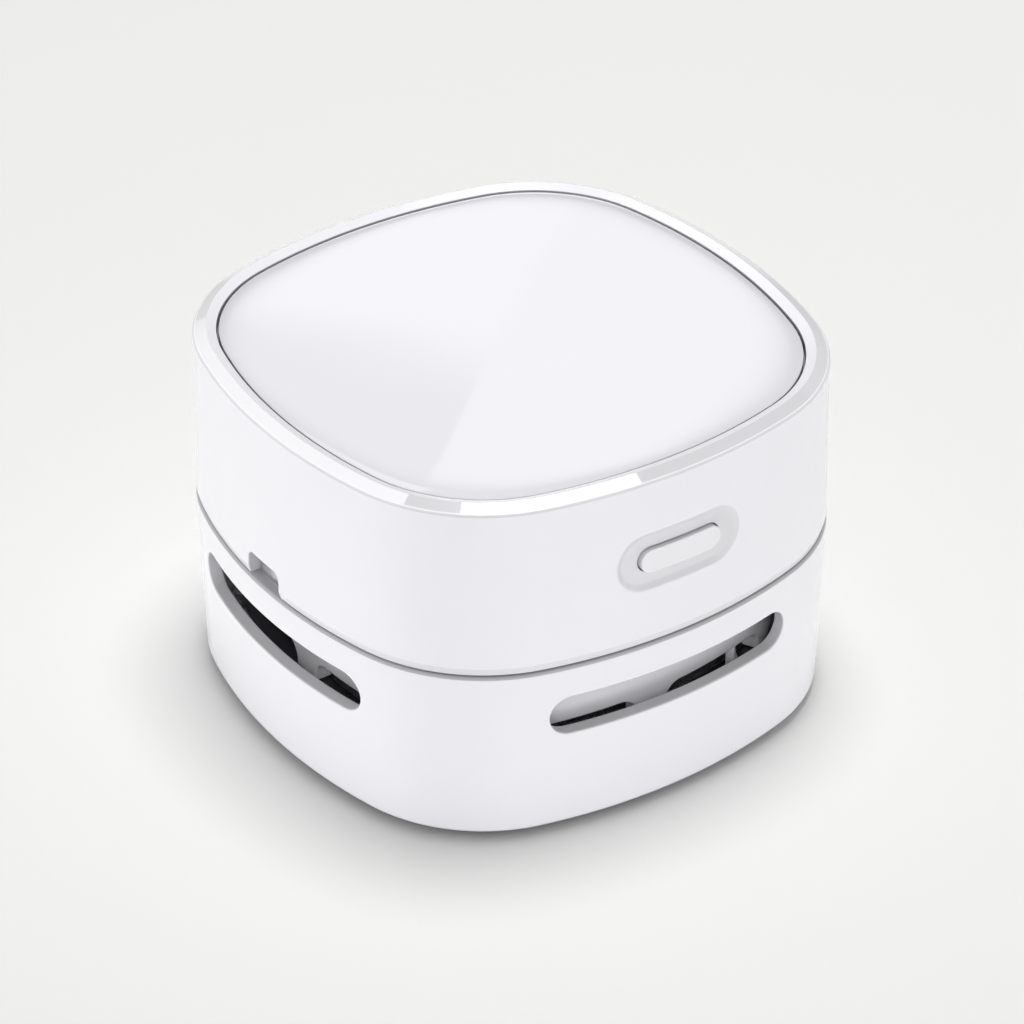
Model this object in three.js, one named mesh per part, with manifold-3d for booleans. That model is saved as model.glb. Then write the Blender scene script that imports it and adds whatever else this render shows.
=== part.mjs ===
// Desktop mini vacuum cleaner: a rounded square dust box with brushes underneath, and a motor unit
// that lifts off it. Millimetres, +Z up, desk at z = 0, push button on the -Y side.
import * as THREE from 'three';
import { mergeVertices } from 'three/addons/utils/BufferGeometryUtils.js';
import Module from 'manifold-3d';

const wasm = await Module();
wasm.setup();

// Clearances
const fitGap = 0.3; // between two pieces that seat on or slide past each other
const partingGap = 0.45; // shadow line between the lower and the upper shell
const panelGap = 0.35; // shadow line round the top panel
const overrun = 2; // how far a cutter passes the face that it opens
const weld = 0.6; // how far a rib or strand is sunk into what carries it

// Body outline: eight tangent arcs, given at the lower edge, the parting line and the rim
const splitHalf = 40;
const splitSideRadius = 73.8;
const splitCornerRadius = 24.6;
const baseTaper = 0.9; // the lower edge stands in by this much from the parting line
const baseHalf = splitHalf - baseTaper;
const baseSideRadius = 78;
const baseCornerRadius = 23.2;
const rimTaper = 0.7;
const rimHalf = splitHalf - rimTaper;
const rimSideRadius = 78.5;
const rimCornerRadius = 24.2;

// Heights of the two shells
const shellClearance = 1.2; // desk to the lower edge
const lowerShellHeight = 25.9;
const upperShellHeight = 25.4;
const shellWall = 2;

// Edges of the shells
const footRound = 0.8;
const lipRound = 0.5;
const skirtHeight = 1; // chamfered band at the upper shell's lower edge
const skirtInset = 0.3;
const chamferWidth = 1.9;
const chamferDrop = 0.95;
const rimRound = 0.4; // between the chamfer and the side wall
const landWidth = 1.1; // flat ridge between the chamfer and the panel

// Air slots in the lower shell, one a side
const slotLength = 38.3;
const slotHeight = 6;
const slotCentre = 17.95; // above the lower edge

// Base plate, dust tray and suction inlet
const plateRecess = 1.2; // underside above the shells' lower edge
const plateThickness = 1.2;
const trayDepth = 4.1;
const trayWall = 1.4;
const inletRadius = 10.5;
const inletFlare = 1.2;
const chimneyWall = 1.4;
const chimneyHeight = 2.6;

// Brush strips round the inlet
const stripLength = 25;
const stripWidth = 2.6;
const stripThickness = 1.2;
const stripGap = 2; // from the chimney to a strip's channel
const channelWall = 1.2;
const channelRoof = 0.9;
const strandRadius = 0.17;
const strandTipShare = 0.8; // tip radius as a share of the root radius
const strandRowGap = 1.1;
const strandTipGap = 0.35; // desk to the tips
const strandsPerRow = 38;
const strandSides = 3;
const strandLean = 0.06; // radians that each row leans outwards

// Glide feet
const footRadius = 3;
const footStep = 5.8; // from a base screw to a foot, along the diagonal
const footPocket = 0.6;

// Screws
const headRadius = 1.7;
const headHeight = 1.1;
const shankRadius = 0.85;
const baseScrewLength = 4;
const baseBossGap = 0.35; // from a boss to the wall
const baseBossRadius = 1.9;
const baseBossHeight = 3.5;
const shellScrewLength = 6;
const chassisScrewLength = 5;
const motorScrewLength = 2.2;
const motorScrewPitch = 8; // motor axis to a screw
const motorHeadHeight = 0.7;

// Filter
const frameInset = 5.6;
const frameThickness = 1.1;
const frameWall = 3.2;
const frameLedge = 1.4;
const frameLedgeThickness = 0.5;
const frameBar = 1.6;
const meshThickness = 0.4;

// Fan housing: ring with open windows, deck over the fan, flange, neck and spigot
const ringInset = 6.6;
const ringWall = 2.6;
const windowHeight = 3.15;
const windowLength = 12.2;
const windowRound = 1.5;
const pierWidth = 5; // in the middle of each side
const ribWidth = 1.3; // between a side window and a corner window
const deckRise = 4.8; // fan space under the deck
const deckThickness = 2;
const flangeThickness = 1.6;
const neckInset = 2.5;
const neckWall = 1.5;
const neckDepth = 4;
const upstandHeight = 4.4;
const sealHeight = 1.5;
const sealDepth = 0.9;

// Upper shell details
const shelfDepth = 2.3; // rim to the panel's seat
const shelfWidth = 2.3;
const shelfThickness = 1.4;
const shelfSupport = 3;
const notchWidth = 7.4;
const notchHeight = 3.55;
const notchRound = 1.2;
const postGap = 0.4; // from a screw post to the collar
const postRadius = 2.6;
const postHeight = 5.6;
const columnRadius = 3;
const columnWeb = 1.5;
const gussetThickness = 1.4;

// Button, its dish in the wall and the switch behind it
const buttonRise = 13; // centre above the parting line
const buttonLength = 13.4;
const buttonHeight = 3.4;
const buttonProud = 0.85; // face above the floor of the dish
const buttonTravel = 0.8;
const buttonFlange = 1;
const buttonFlangeThickness = 0.8;
const buttonStem = 1;
const dishLength = 19.8;
const dishHeight = 8.8;
const dishDepth = 0.5;
const dishSlope = 0.5;
const plungerRadius = 1.7;
const plungerReach = 2.7; // from the button's stem to the switch
const plungerEntry = 0.6;
const switchWidth = 7;
const switchHeight = 6.4;
const switchDepth = 5.5;

// Top panel
const panelThickness = 1.6;
const panelEdgeRound = 0.35;
const panelCrown = 0.6;

// Motor and fan
const canRadius = 12.2;
const motorHeadroom = 3.45; // from the end cap's boss to the shelf under the top panel
const canWall = 1;
const nosingRadius = 3;
const nosingLength = 1.5;
const endCapThickness = 1.5;
const endCapPlug = 1.2;
const endCapBoss = 1.2;
const shaftRadius = 1;
const shaftOverhang = 0.9;
const magnetThickness = 1.9;
const magnetEnd = 3.4; // from a magnet to each end of the can's hollow
const magnetSpan = 2.3; // radians
const armatureRadius = 8;
const armatureEnd = 5.4; // from the armature to each end of the can's hollow
const armatureSlots = 5;
const armatureNeck = 1.6;
const armatureShoe = 1.8;
const shoeSpanShare = 0.8; // of the space between two slots
const commutatorRadius = 2.8;
const commutatorLength = 4;
const terminalWidth = 2.2;
const terminalHeight = 2.4;
const terminalThickness = 0.5;
const terminalPitch = 6.5;
const fanGap = 5.8; // from the fan to the ring
const fanEyeRadius = 9.5;
const fanHubRadius = 4;
const fanPlate = 1;
const fanFloorGap = 0.5;
const bladeCount = 9;
const bladeHeight = 2.9;
const bladeThickness = 1.1;
const bladeSweep = 0.95; // radians that a blade trails from root to tip

// Chassis plate with battery, control board and charging port
const chassisInset = 4.4;
const chassisThickness = 1.6;
const chassisBossGap = 0.4; // from a boss to the ring
const chassisBossRadius = 2.4;
const cellGap = 1.45; // from the cell to the motor can, the port's board and the shelf
const cellEndGap = 18.5; // from an end of the cell to the side wall's face
const cellNub = 2.6;
const cellNubLength = 0.9;
const cellFloor = 0.8;
const saddlePitch = 13;
const saddleWidth = 3;
const saddleWall = 1.4;
const boardWidth = 24;
const boardHeight = 16;
const boardThickness = 1.6;
const railWidth = 3.6;
const railWall = 1.2;
const railHeight = 9;
const railGrip = 0.9;
const portWidth = 9;
const portHeight = 3.2;
const portLength = 7.3;
const portWall = 0.35;
const portTongue = 0.7;
const portRise = 8.6; // centre above the parting line
const portBoardWidth = 16;
const portBoardLength = 8;
const portPost = 1.8;
const portPostPitch = 6;
const wireRadius = 0.6;

// Facets
const sideSteps = 6; // even, so that each side has a point in its middle
const cornerSteps = 5;
const roundSides = 20;
const fanSides = 36;
const smallSides = 8;
const capsuleSteps = 5; // twice this many on each round end
const archSteps = 2; // twice this many on each round corner
const bladeSteps = 5;
const wireSides = 6;
const wireSteps = 12;

const quarter = Math.PI / 2;
const diagonal = Math.PI / 4;
const corners = [0, 1, 2, 3];

// Heights worked out from the sizes above
const zShell = shellClearance;
const zSplit = zShell + lowerShellHeight;
const zUpper = zSplit + partingGap;
const zRim = zUpper + upperShellHeight;
const zPlate = zShell + plateRecess;
const zFloor = zPlate + plateThickness;
const zTray = zFloor + trayDepth;
const zFilter = zTray + fitGap;
const zHousing = zFilter + frameThickness + fitGap;
const zDeck = zHousing + deckRise;
const zDeckTop = zDeck + deckThickness;
const zFlangeTop = zSplit + fitGap;
const zFlange = zFlangeTop - flangeThickness;
const zNeck = zFlangeTop - neckDepth;
const zShelf = zRim - shelfDepth;
const zChassis = zFlangeTop + fitGap;
const zChassisTop = zChassis + chassisThickness;
const zColumn = zFlangeTop + postHeight + fitGap;
const zCan = zDeckTop + fitGap;
const zCanTop = zShelf - motorHeadroom - endCapBoss - endCapThickness;
const canLength = zCanTop - zCan;
const canHollow = canLength - canWall - endCapPlug;
const magnetLength = canHollow - 2 * magnetEnd;
const armatureLength = canHollow - 2 * armatureEnd;
const zButton = zSplit + buttonRise;
const zPort = zSplit + portRise;
const zFanTop = zDeck - fanFloorGap;
const zEndCapTop = zCanTop + fitGap + endCapThickness;
const zMagnet = zCan + canWall + magnetEnd;
const zArmature = zCan + canWall + armatureEnd;
const zPortBoard = zPort - portHeight / 2 - fitGap - boardThickness;

// Other places and sizes worked out from them
const panelInset = chamferWidth + landWidth + panelGap;
const stripRecess = stripThickness + fitGap;
const stripDistance = inletRadius + chimneyWall + stripGap + channelWall + stripWidth / 2;
const baseScrewDistance = cornerReach(zFloor, shellWall) - baseBossGap - baseBossRadius;
const footDistance = baseScrewDistance - footStep;
const postDistance = cornerReach(zSplit, neckInset + neckWall) - postGap - postRadius;
const ringInner = splitHalf - ringInset - ringWall;
const fanRadius = ringInner - fanGap;
const chassisBossDistance = ringInner - chassisBossGap - chassisBossRadius;
const shankHole = shankRadius + fitGap;
const headHole = headRadius + fitGap;
const wallFront = splitHalf - shellWall; // inner face of a side wall at the parting line
const flangeFront = -(wallFront - 2 * fitGap - buttonFlangeThickness / 2);
const flangeBack = flangeFront + buttonFlangeThickness;
const stemEnd = flangeBack + buttonStem;
const plungerFront = stemEnd + fitGap;
const switchFront = plungerFront + plungerReach;
const boardFront = -(switchFront + switchDepth + fitGap);
const portBack = wallFront - 2 * fitGap; // mouth of the port, inside the rear wall
const portBoardBack = portBack - fitGap;
const zCellFoot = zChassisTop + cellFloor + fitGap;
const cellDepth = portBoardBack - portBoardLength - canRadius - 2 * cellGap;
const cellHeight = zShelf - shelfThickness - shelfSupport - cellGap - zCellFoot;
const cellRadius = Math.min(cellDepth, cellHeight) / 2; // a round cell fills the lesser of its two rooms
const cellLength = 2 * (splitHalf - cellEndGap);
const cellBack = canRadius + cellGap + cellRadius; // motor axis to cell axis
const zCell = zCellFoot + cellRadius;

// A loop of eight tangent arcs: four flat ones on the sides, four tight ones at the corners.
function roundedSquare(half, sideRadius, cornerRadius) {
  const back = sideRadius - half; // side arc's centre, behind the axis
  const corner = (Math.sqrt(2 * (sideRadius - cornerRadius) ** 2 - back ** 2) - back) / 2;
  const lean = Math.atan2(corner, corner + back);
  const arc = (cx, cy, radius, from, to, steps) =>
    Array.from({ length: steps }, (_, i) => {
      const angle = from + ((to - from) * i) / steps;
      return new THREE.Vector2(cx + radius * Math.cos(angle), cy + radius * Math.sin(angle));
    });
  const side = arc(-back, 0, sideRadius, -lean, lean, sideSteps);
  const turn = arc(corner, corner, cornerRadius, lean, quarter - lean, cornerSteps);
  const centre = new THREE.Vector2();
  return corners.flatMap((q) => [...side, ...turn].map((p) => p.clone().rotateAround(centre, q * quarter)));
}

// The body's outline at a height, moved inwards by an inset.
function bodyLoop(z, inset) {
  const low = THREE.MathUtils.clamp((z - zShell) / lowerShellHeight, 0, 1);
  const high = THREE.MathUtils.clamp((z - zSplit) / (zRim - zSplit), 0, 1);
  const blend = (base, split, rim) =>
    high > 0 ? THREE.MathUtils.lerp(split, rim, high) : THREE.MathUtils.lerp(base, split, low);
  return roundedSquare(
    blend(baseHalf, splitHalf, rimHalf) - inset,
    blend(baseSideRadius, splitSideRadius, rimSideRadius) - inset,
    blend(baseCornerRadius, splitCornerRadius, rimCornerRadius) - inset,
  );
}

// The body's half width along the diagonal, where the corner pieces stand.
function cornerReach(z, inset) {
  return Math.max(...bodyLoop(z, inset).map((p) => p.length()));
}

// Skin over a stack of equal loops. A closed stack joins its last loop to its first, an open one gets
// a flat fan at both ends.
function skin(loops, closed) {
  const count = loops[0].length;
  const positions = loops.flat().flatMap((p) => [p.x, p.y, p.z]);
  const index = [];
  const bands = closed ? loops.length : loops.length - 1;
  for (let band = 0; band < bands; band += 1) {
    const low = band * count;
    const high = ((band + 1) % loops.length) * count;
    for (let i = 0; i < count; i += 1) {
      const j = (i + 1) % count;
      index.push(low + i, low + j, high + j, low + i, high + j, high + i);
    }
  }
  if (!closed) {
    const last = (loops.length - 1) * count;
    const bottom = loops.length * count;
    positions.push(0, 0, loops[0][0].z, 0, 0, loops[loops.length - 1][0].z);
    for (let i = 0; i < count; i += 1) {
      const j = (i + 1) % count;
      index.push(bottom, j, i, bottom + 1, last + i, last + j);
    }
  }
  const geometry = new THREE.BufferGeometry();
  geometry.setAttribute('position', new THREE.Float32BufferAttribute(positions, 3));
  geometry.setIndex(index);
  return geometry;
}

// Rings and plates that follow the body: each profile row is [inset, z].
const vector = (x, y, z) => new THREE.Vector3(x, y, z);
const rows = (profile) => profile.map(([inset, z]) => bodyLoop(z, inset).map((p) => vector(p.x, p.y, z)));
const bodyRing = (profile) => toSolid(skin(rows(profile), true));
const bodyPlate = (profile) => toSolid(skin(rows(profile), false));

// Manifold solid of a closed geometry: shared corners merged, empty triangles dropped, faces outwards.
function toSolid(geometry) {
  const bare = geometry.clone();
  bare.deleteAttribute('normal');
  bare.deleteAttribute('uv');
  const merged = mergeVertices(bare);
  const points = merged.attributes.position;
  const corner = (i) => new THREE.Vector3().fromBufferAttribute(points, i);
  const triangles = [];
  let volume = 0;
  for (let i = 0; i < merged.index.count; i += 3) {
    const [a, b, c] = [0, 1, 2].map((k) => merged.index.getX(i + k));
    if (a !== b && b !== c && c !== a) {
      triangles.push([a, b, c]);
      volume += corner(a).dot(corner(b).cross(corner(c)));
    }
  }
  const triVerts = new Uint32Array(triangles.flatMap((t) => (volume < 0 ? t.reverse() : t)));
  const vertProperties = new Float32Array(points.array);
  return new wasm.Manifold(new wasm.Mesh({ numProp: 3, vertProperties, triVerts }));
}

function toGeometry(solid) {
  const { vertProperties, triVerts } = solid.getMesh();
  const geometry = new THREE.BufferGeometry();
  geometry.setAttribute('position', new THREE.BufferAttribute(vertProperties, 3));
  geometry.setIndex(new THREE.BufferAttribute(triVerts, 1));
  geometry.computeVertexNormals();
  return geometry;
}

const join = (...solids) => solids.reduce((whole, next) => whole.add(next));
const cut = (solid, ...cutters) => cutters.reduce((rest, next) => rest.subtract(next), solid);

// Upright rod between two heights, with an optional second radius at the top.
function rod(radius, low, high, x = 0, y = 0, sides = roundSides, topRadius = radius) {
  const geometry = new THREE.CylinderGeometry(topRadius, radius, high - low, sides);
  geometry.rotateX(quarter).translate(x, y, (low + high) / 2);
  return toSolid(geometry);
}

// Rods along +Y and along +X, from one place to another.
function rodAlongY(radius, from, to, x, z, sides = roundSides) {
  const geometry = new THREE.CylinderGeometry(radius, radius, to - from, sides);
  return toSolid(geometry.translate(x, (from + to) / 2, z));
}

function rodAlongX(radius, from, to, y, z, sides = roundSides) {
  const geometry = new THREE.CylinderGeometry(radius, radius, to - from, sides);
  return toSolid(geometry.rotateZ(quarter).translate((from + to) / 2, y, z));
}

function block(low, high) {
  const size = new THREE.Vector3().subVectors(high, low);
  const centre = new THREE.Vector3().addVectors(high, low).multiplyScalar(1 / 2);
  return toSolid(new THREE.BoxGeometry(size.x, size.y, size.z).translate(centre.x, centre.y, centre.z));
}

function revolve(profile, sides = roundSides) {
  const points = profile.map(([radius, z]) => new THREE.Vector2(radius, z));
  return toSolid(new THREE.LatheGeometry([...points, points[0].clone()], sides).rotateX(quarter));
}

// One solid for each side, or for each corner when it starts on the diagonal.
function turned(build, start = 0) {
  return corners.map((q) => build(start + q * quarter));
}

function capsule(length, height) {
  const radius = height / 2;
  const reach = length / 2 - radius;
  return new THREE.Shape()
    .absarc(reach, 0, radius, -quarter, quarter)
    .absarc(-reach, 0, radius, quarter, 3 * quarter);
}

// Prism of a shape that is drawn as seen from the front, running along Y, then turned about Z.
function frontPrism(shape, nearY, farY, z, turn = 0, steps = capsuleSteps) {
  const geometry = new THREE.ExtrudeGeometry(shape, {
    depth: farY - nearY, bevelEnabled: false, curveSegments: steps,
  });
  geometry.rotateX(quarter).translate(0, farY, z).rotateZ(turn);
  return toSolid(geometry);
}

// Opening with rounded top corners and a square foot, drawn from its foot upwards.
function archShape(left, right, height, round, foot) {
  return new THREE.Shape()
    .moveTo(left, -foot)
    .lineTo(right, -foot)
    .lineTo(right, height - round)
    .absarc(right - round, height - round, round, 0, quarter)
    .lineTo(left + round, height)
    .absarc(left + round, height - round, round, quarter, 2 * quarter)
    .lineTo(left, -foot);
}

// The head stands on its seat and the shank runs up or down from it.
const up = 1;
const down = -1;
function screw(x, y, seat, length, way, height = headHeight) {
  const between = (radius, a, b) => rod(radius, Math.min(a, b), Math.max(a, b), x, y, smallSides);
  return join(
    between(headRadius, seat, seat - way * height),
    between(shankRadius, seat - (way * height) / 2, seat + way * length),
  );
}

const atCorner = (distance, q) => [
  distance * Math.cos(diagonal + q * quarter),
  distance * Math.sin(diagonal + q * quarter),
];

// Materials
function paint(color, roughness, metalness = 0) {
  return new THREE.MeshStandardMaterial({ color, roughness, metalness });
}
const materials = {
  gloss: paint(0xf2f2f6, 0.18),
  satin: paint(0xc9c9ce, 0.45),
  dark: paint(0x2b2b2e, 0.5),
  filter: paint(0x3a3b3e, 0.9),
  bristle: paint(0x1d1d1f, 0.6),
  rubber: paint(0x8f9094, 0.8),
  glide: paint(0xe4e4e2, 0.4),
  steel: paint(0xb9bcc0, 0.3, 1),
  brass: paint(0xc8a258, 0.35, 1),
  copper: paint(0xb46a3c, 0.4, 1),
  ferrite: paint(0x4a4a4e, 0.7),
  board: paint(0x1f5a34, 0.5),
  cell: paint(0x2f6fb4, 0.4),
  red: paint(0xb3261e, 0.5),
  black: paint(0x18181a, 0.5),
};

// Dust box

function lowerShell() {
  const shell = bodyRing([
    [footRound, zShell],
    [footRound * (1 - Math.cos(diagonal)), zShell + footRound * (1 - Math.cos(diagonal))],
    [0, zShell + footRound],
    [0, zSplit - lipRound],
    [lipRound * (1 - Math.cos(diagonal)), zSplit - lipRound * (1 - Math.cos(diagonal))],
    [lipRound, zSplit],
    [shellWall, zSplit],
    [shellWall, zShell],
  ]);
  const slots = turned((turn) => frontPrism(
    capsule(slotLength, slotHeight), -splitHalf - overrun, -splitHalf / 2, zShell + slotCentre, turn,
  ));
  const bossTop = zFloor + fitGap + baseBossHeight;
  const bosses = corners.map((q) => {
    const [x, y] = atCorner(baseScrewDistance, q);
    return rod(baseBossRadius, zFloor + fitGap, bossTop, x, y, smallSides);
  });
  const reach = cornerReach(zFloor, shellWall) + weld;
  const gussets = turned((turn) => radialRib(
    baseScrewDistance, reach, gussetThickness, zFloor + fitGap, bossTop, turn,
  ), diagonal);
  const pilots = corners.map((q) => {
    const [x, y] = atCorner(baseScrewDistance, q);
    return rod(shankHole, zFloor - overrun, zPlate + baseScrewLength, x, y, smallSides);
  });
  return cut(join(shell, ...bosses, ...gussets), ...slots, ...pilots);
}

// Rib that runs outwards from the axis at an angle.
function radialRib(from, to, thickness, low, high, angle) {
  const geometry = new THREE.BoxGeometry(to - from, thickness, high - low);
  return toSolid(geometry.translate((from + to) / 2, 0, (low + high) / 2).rotateZ(angle));
}

function basePlate() {
  const edge = shellWall + fitGap;
  const plate = bodyPlate([
    [edge, zPlate],
    [edge, zFloor],
    [ringInset, zFloor],
    [ringInset, zTray],
    [ringInset + trayWall, zTray],
    [ringInset + trayWall, zFloor],
  ]);
  const chimney = rod(inletRadius + chimneyWall, zPlate, zFloor + chimneyHeight);
  const roof = zPlate + stripRecess + channelRoof;
  const channels = turned((turn) => stripBlock(channelWall, zPlate, roof, turn));
  const grooves = turned((turn) => stripBlock(fitGap, zPlate - overrun, zPlate + stripRecess, turn));
  const bore = revolve([
    [0, zPlate - overrun],
    [inletRadius + inletFlare, zPlate - overrun],
    [inletRadius + inletFlare, zPlate],
    [inletRadius, zPlate + inletFlare],
    [inletRadius, zFloor + chimneyHeight + overrun],
    [0, zFloor + chimneyHeight + overrun],
  ]);
  const pockets = corners.map((q) => {
    const [x, y] = atCorner(footDistance, q);
    return rod(footRadius + fitGap, zPlate - overrun, zPlate + footPocket, x, y);
  });
  const screwHoles = corners.flatMap((q) => {
    const [x, y] = atCorner(baseScrewDistance, q);
    return [
      rod(shankHole, zPlate - overrun, zFloor + overrun, x, y, smallSides),
      rod(headHole, zPlate - overrun, zPlate + plateThickness / 2, x, y, smallSides),
    ];
  });
  return cut(join(plate, chimney, ...channels), bore, ...grooves, ...pockets, ...screwHoles);
}

// Block of a brush strip's length and width, grown by a margin, in front of the inlet.
function stripBlock(margin, low, high, turn) {
  const geometry = new THREE.BoxGeometry(stripLength + 2 * margin, stripWidth + 2 * margin, high - low);
  return toSolid(geometry.translate(0, -stripDistance, (low + high) / 2).rotateZ(turn));
}

function brushStrip(turn) {
  const top = zPlate + stripRecess - fitGap;
  const foot = top - stripThickness;
  const length = foot - strandTipGap + weld;
  const pitch = (stripLength - stripWidth) / (strandsPerRow - 1);
  const strands = [];
  for (let i = 0; i < 2 * strandsPerRow; i += 1) {
    const row = i % 2 ? 1 : -1;
    const column = Math.floor(i / 2);
    const stagger = (row * pitch) / 4;
    const geometry = new THREE.CylinderGeometry(
      strandRadius, strandRadius * strandTipShare, length, strandSides,
    );
    geometry.rotateX(quarter).translate(0, 0, -length / 2).rotateX(row * strandLean);
    geometry.translate(
      (column - (strandsPerRow - 1) / 2) * pitch + stagger,
      (row * strandRowGap) / 2 - stripDistance,
      foot + weld,
    );
    strands.push(toSolid(geometry.rotateZ(turn)));
  }
  return join(stripBlock(0, foot, top, turn), ...strands);
}

function glideFoot(q) {
  const [x, y] = atCorner(footDistance, q);
  const top = zPlate + footPocket - fitGap;
  const edge = footPocket;
  return toSolid(new THREE.LatheGeometry([
    new THREE.Vector2(0, 0),
    new THREE.Vector2(footRadius - edge, 0),
    new THREE.Vector2(footRadius, edge),
    new THREE.Vector2(footRadius, top),
    new THREE.Vector2(0, top),
  ], smallSides * 2).rotateX(quarter).translate(x, y, 0));
}

function baseScrew(q) {
  const [x, y] = atCorner(baseScrewDistance, q);
  return screw(x, y, zPlate + plateThickness / 2 - fitGap, baseScrewLength - plateThickness, up);
}

// Filter

function filterFrame() {
  const inner = frameInset + frameWall;
  const ledge = zFilter + frameLedgeThickness;
  const frame = bodyRing([
    [frameInset, zFilter],
    [frameInset, zFilter + frameThickness],
    [inner, zFilter + frameThickness],
    [inner, ledge],
    [inner + frameLedge, ledge],
    [inner + frameLedge, zFilter],
  ]);
  const reach = baseHalf - inner - frameLedge + weld;
  const bars = [0, quarter].map((turn) => toSolid(
    new THREE.BoxGeometry(2 * reach, frameBar, frameLedgeThickness)
      .translate(0, 0, zFilter + frameLedgeThickness / 2).rotateZ(turn),
  ));
  return join(frame, ...bars);
}

function filterMesh() {
  const low = zFilter + frameLedgeThickness + fitGap;
  const edge = frameInset + frameWall + fitGap;
  return bodyPlate([[edge, low], [edge, low + meshThickness]]);
}

// Fan housing

function fanHousing() {
  const inner = ringInset + ringWall;
  const sealLow = zNeck + (zFlange - zNeck - sealHeight) / 2 - fitGap;
  const sealHigh = sealLow + sealHeight + 2 * fitGap;
  const body = bodyRing([
    [ringInset, zHousing],
    [ringInset, zFlange],
    [neckInset + neckWall, zFlange],
    [neckInset + neckWall, zNeck],
    [neckInset, zNeck],
    [neckInset, sealLow],
    [neckInset + sealDepth, sealLow],
    [neckInset + sealDepth, sealHigh],
    [neckInset, sealHigh],
    [neckInset, zFlangeTop + upstandHeight],
    [neckInset + neckWall, zFlangeTop + upstandHeight],
    [neckInset + neckWall, zFlangeTop],
    [inner, zFlangeTop],
    [inner, zHousing],
  ]);
  const deck = bodyPlate([[inner - weld, zDeck], [inner - weld, zDeckTop]]);
  const posts = corners.map((q) => {
    const [x, y] = atCorner(postDistance, q);
    return rod(postRadius, zFlange, zFlangeTop + postHeight, x, y, smallSides);
  });
  const chassisBosses = [-1, 1].map((side) => rod(
    chassisBossRadius, zDeckTop - weld, zFlangeTop, side * chassisBossDistance, 0, smallSides,
  ));
  const postPilots = corners.map((q) => {
    const [x, y] = atCorner(postDistance, q);
    return rod(shankHole, zFlangeTop, zFlangeTop + postHeight + overrun, x, y, smallSides);
  });
  const pilotFoot = zChassisTop - chassisScrewLength - fitGap;
  const chassisPilots = [-1, 1].map((side) => rod(
    shankHole, pilotFoot, zFlangeTop + overrun, side * chassisBossDistance, 0, smallSides,
  ));
  const whole = join(body, deck, ...posts, ...chassisBosses);
  return cut(whole, ...fanWindows(), ...motorHoles(), ...postPilots, ...chassisPilots);
}

// Windows that are open at the foot: two a side and one at each corner.
function fanWindows() {
  const near = -splitHalf;
  const far = -fanRadius;
  const start = pierWidth / 2;
  const end = start + windowLength;
  const right = archShape(start, end, windowHeight, windowRound, overrun);
  const left = archShape(-end, -start, windowHeight, windowRound, overrun);
  const sides = turned((turn) => join(
    frontPrism(right, near, far, zHousing, turn, archSteps),
    frontPrism(left, near, far, zHousing, turn, archSteps),
  ));
  const ringSide = splitHalf - ringInset;
  const cornerHalf = (ringSide - end - ribWidth) * Math.cos(diagonal) - ribWidth / 2;
  const corner = archShape(-cornerHalf, cornerHalf, windowHeight, windowRound, overrun);
  const diagonals = turned(
    (turn) => frontPrism(corner, near - overrun, far, zHousing, turn, archSteps), diagonal,
  );
  return [...sides, ...diagonals];
}

function motorHoles() {
  const nosing = rod(nosingRadius + fitGap, zDeck - overrun, zDeckTop + overrun);
  const screws = [-1, 1].flatMap((side) => [
    rod(shankHole, zDeck - overrun, zDeckTop + overrun, side * motorScrewPitch, 0, smallSides),
    rod(headHole, zDeck - overrun, zDeck + motorHeadHeight + fitGap, side * motorScrewPitch, 0, smallSides),
  ]);
  return [nosing, ...screws];
}

function neckSeal() {
  const low = zNeck + (zFlange - zNeck - sealHeight) / 2;
  const high = low + sealHeight;
  const outer = shellWall + fitGap;
  const inner = neckInset + sealDepth - fitGap;
  return bodyRing([[outer, low], [outer, high], [inner, high], [inner, low]]);
}

// Upper shell

function upperShell() {
  const recess = chamferWidth + landWidth;
  const edge = zRim - chamferDrop;
  const shell = bodyRing([
    [skirtInset, zUpper],
    [0, zUpper + skirtHeight],
    [0, edge - rimRound],
    [rimRound / 4, edge],
    [chamferWidth, zRim],
    [recess, zRim],
    [recess, zShelf],
    [recess + shelfWidth, zShelf],
    [recess + shelfWidth, zShelf - shelfThickness],
    [shellWall, zShelf - shelfThickness - shelfSupport],
    [shellWall, zUpper],
  ]);
  const columns = corners.map((q) => {
    const [x, y] = atCorner(postDistance, q);
    return rod(columnRadius, zColumn, zShelf, x, y, 2 * smallSides);
  });
  const reach = cornerReach(zSplit, shellWall) + weld;
  const gussets = turned((turn) => radialRib(
    postDistance, reach, gussetThickness, zColumn, zShelf - shelfThickness, turn,
  ), diagonal);
  const bores = corners.flatMap((q) => {
    const [x, y] = atCorner(postDistance, q);
    return [
      rod(shankHole, zColumn - overrun, zShelf, x, y, smallSides),
      rod(headHole, zColumn + columnWeb, zShelf + overrun, x, y, smallSides),
    ];
  });
  const whole = join(shell, ...columns, ...gussets);
  return cut(whole, ...bores, dish(), buttonHole(), notch(), portHole());
}

// Shallow capsule recess whose floor follows the wall, with sloping sides.
function dish() {
  const floor = bodyPlate([[dishDepth, zUpper], [dishDepth, zRim - chamferWidth]]);
  const near = -splitHalf - overrun;
  const mouth = capsule(dishLength, dishHeight);
  const base = capsule(dishLength - 2 * dishSlope, dishHeight - 2 * dishSlope);
  const mouthHole = frontPrism(mouth, near, -splitHalf / 2, zButton);
  const skinFloor = bodyPlate([[dishDepth / 2, zUpper], [dishDepth / 2, zRim - chamferWidth]]);
  return join(cut(mouthHole, skinFloor), cut(frontPrism(base, near, -splitHalf / 2, zButton), floor));
}

function buttonHole() {
  const shape = capsule(buttonLength + 2 * fitGap, buttonHeight + 2 * fitGap);
  return frontPrism(shape, -splitHalf - overrun, -splitHalf / 2, zButton);
}

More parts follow.
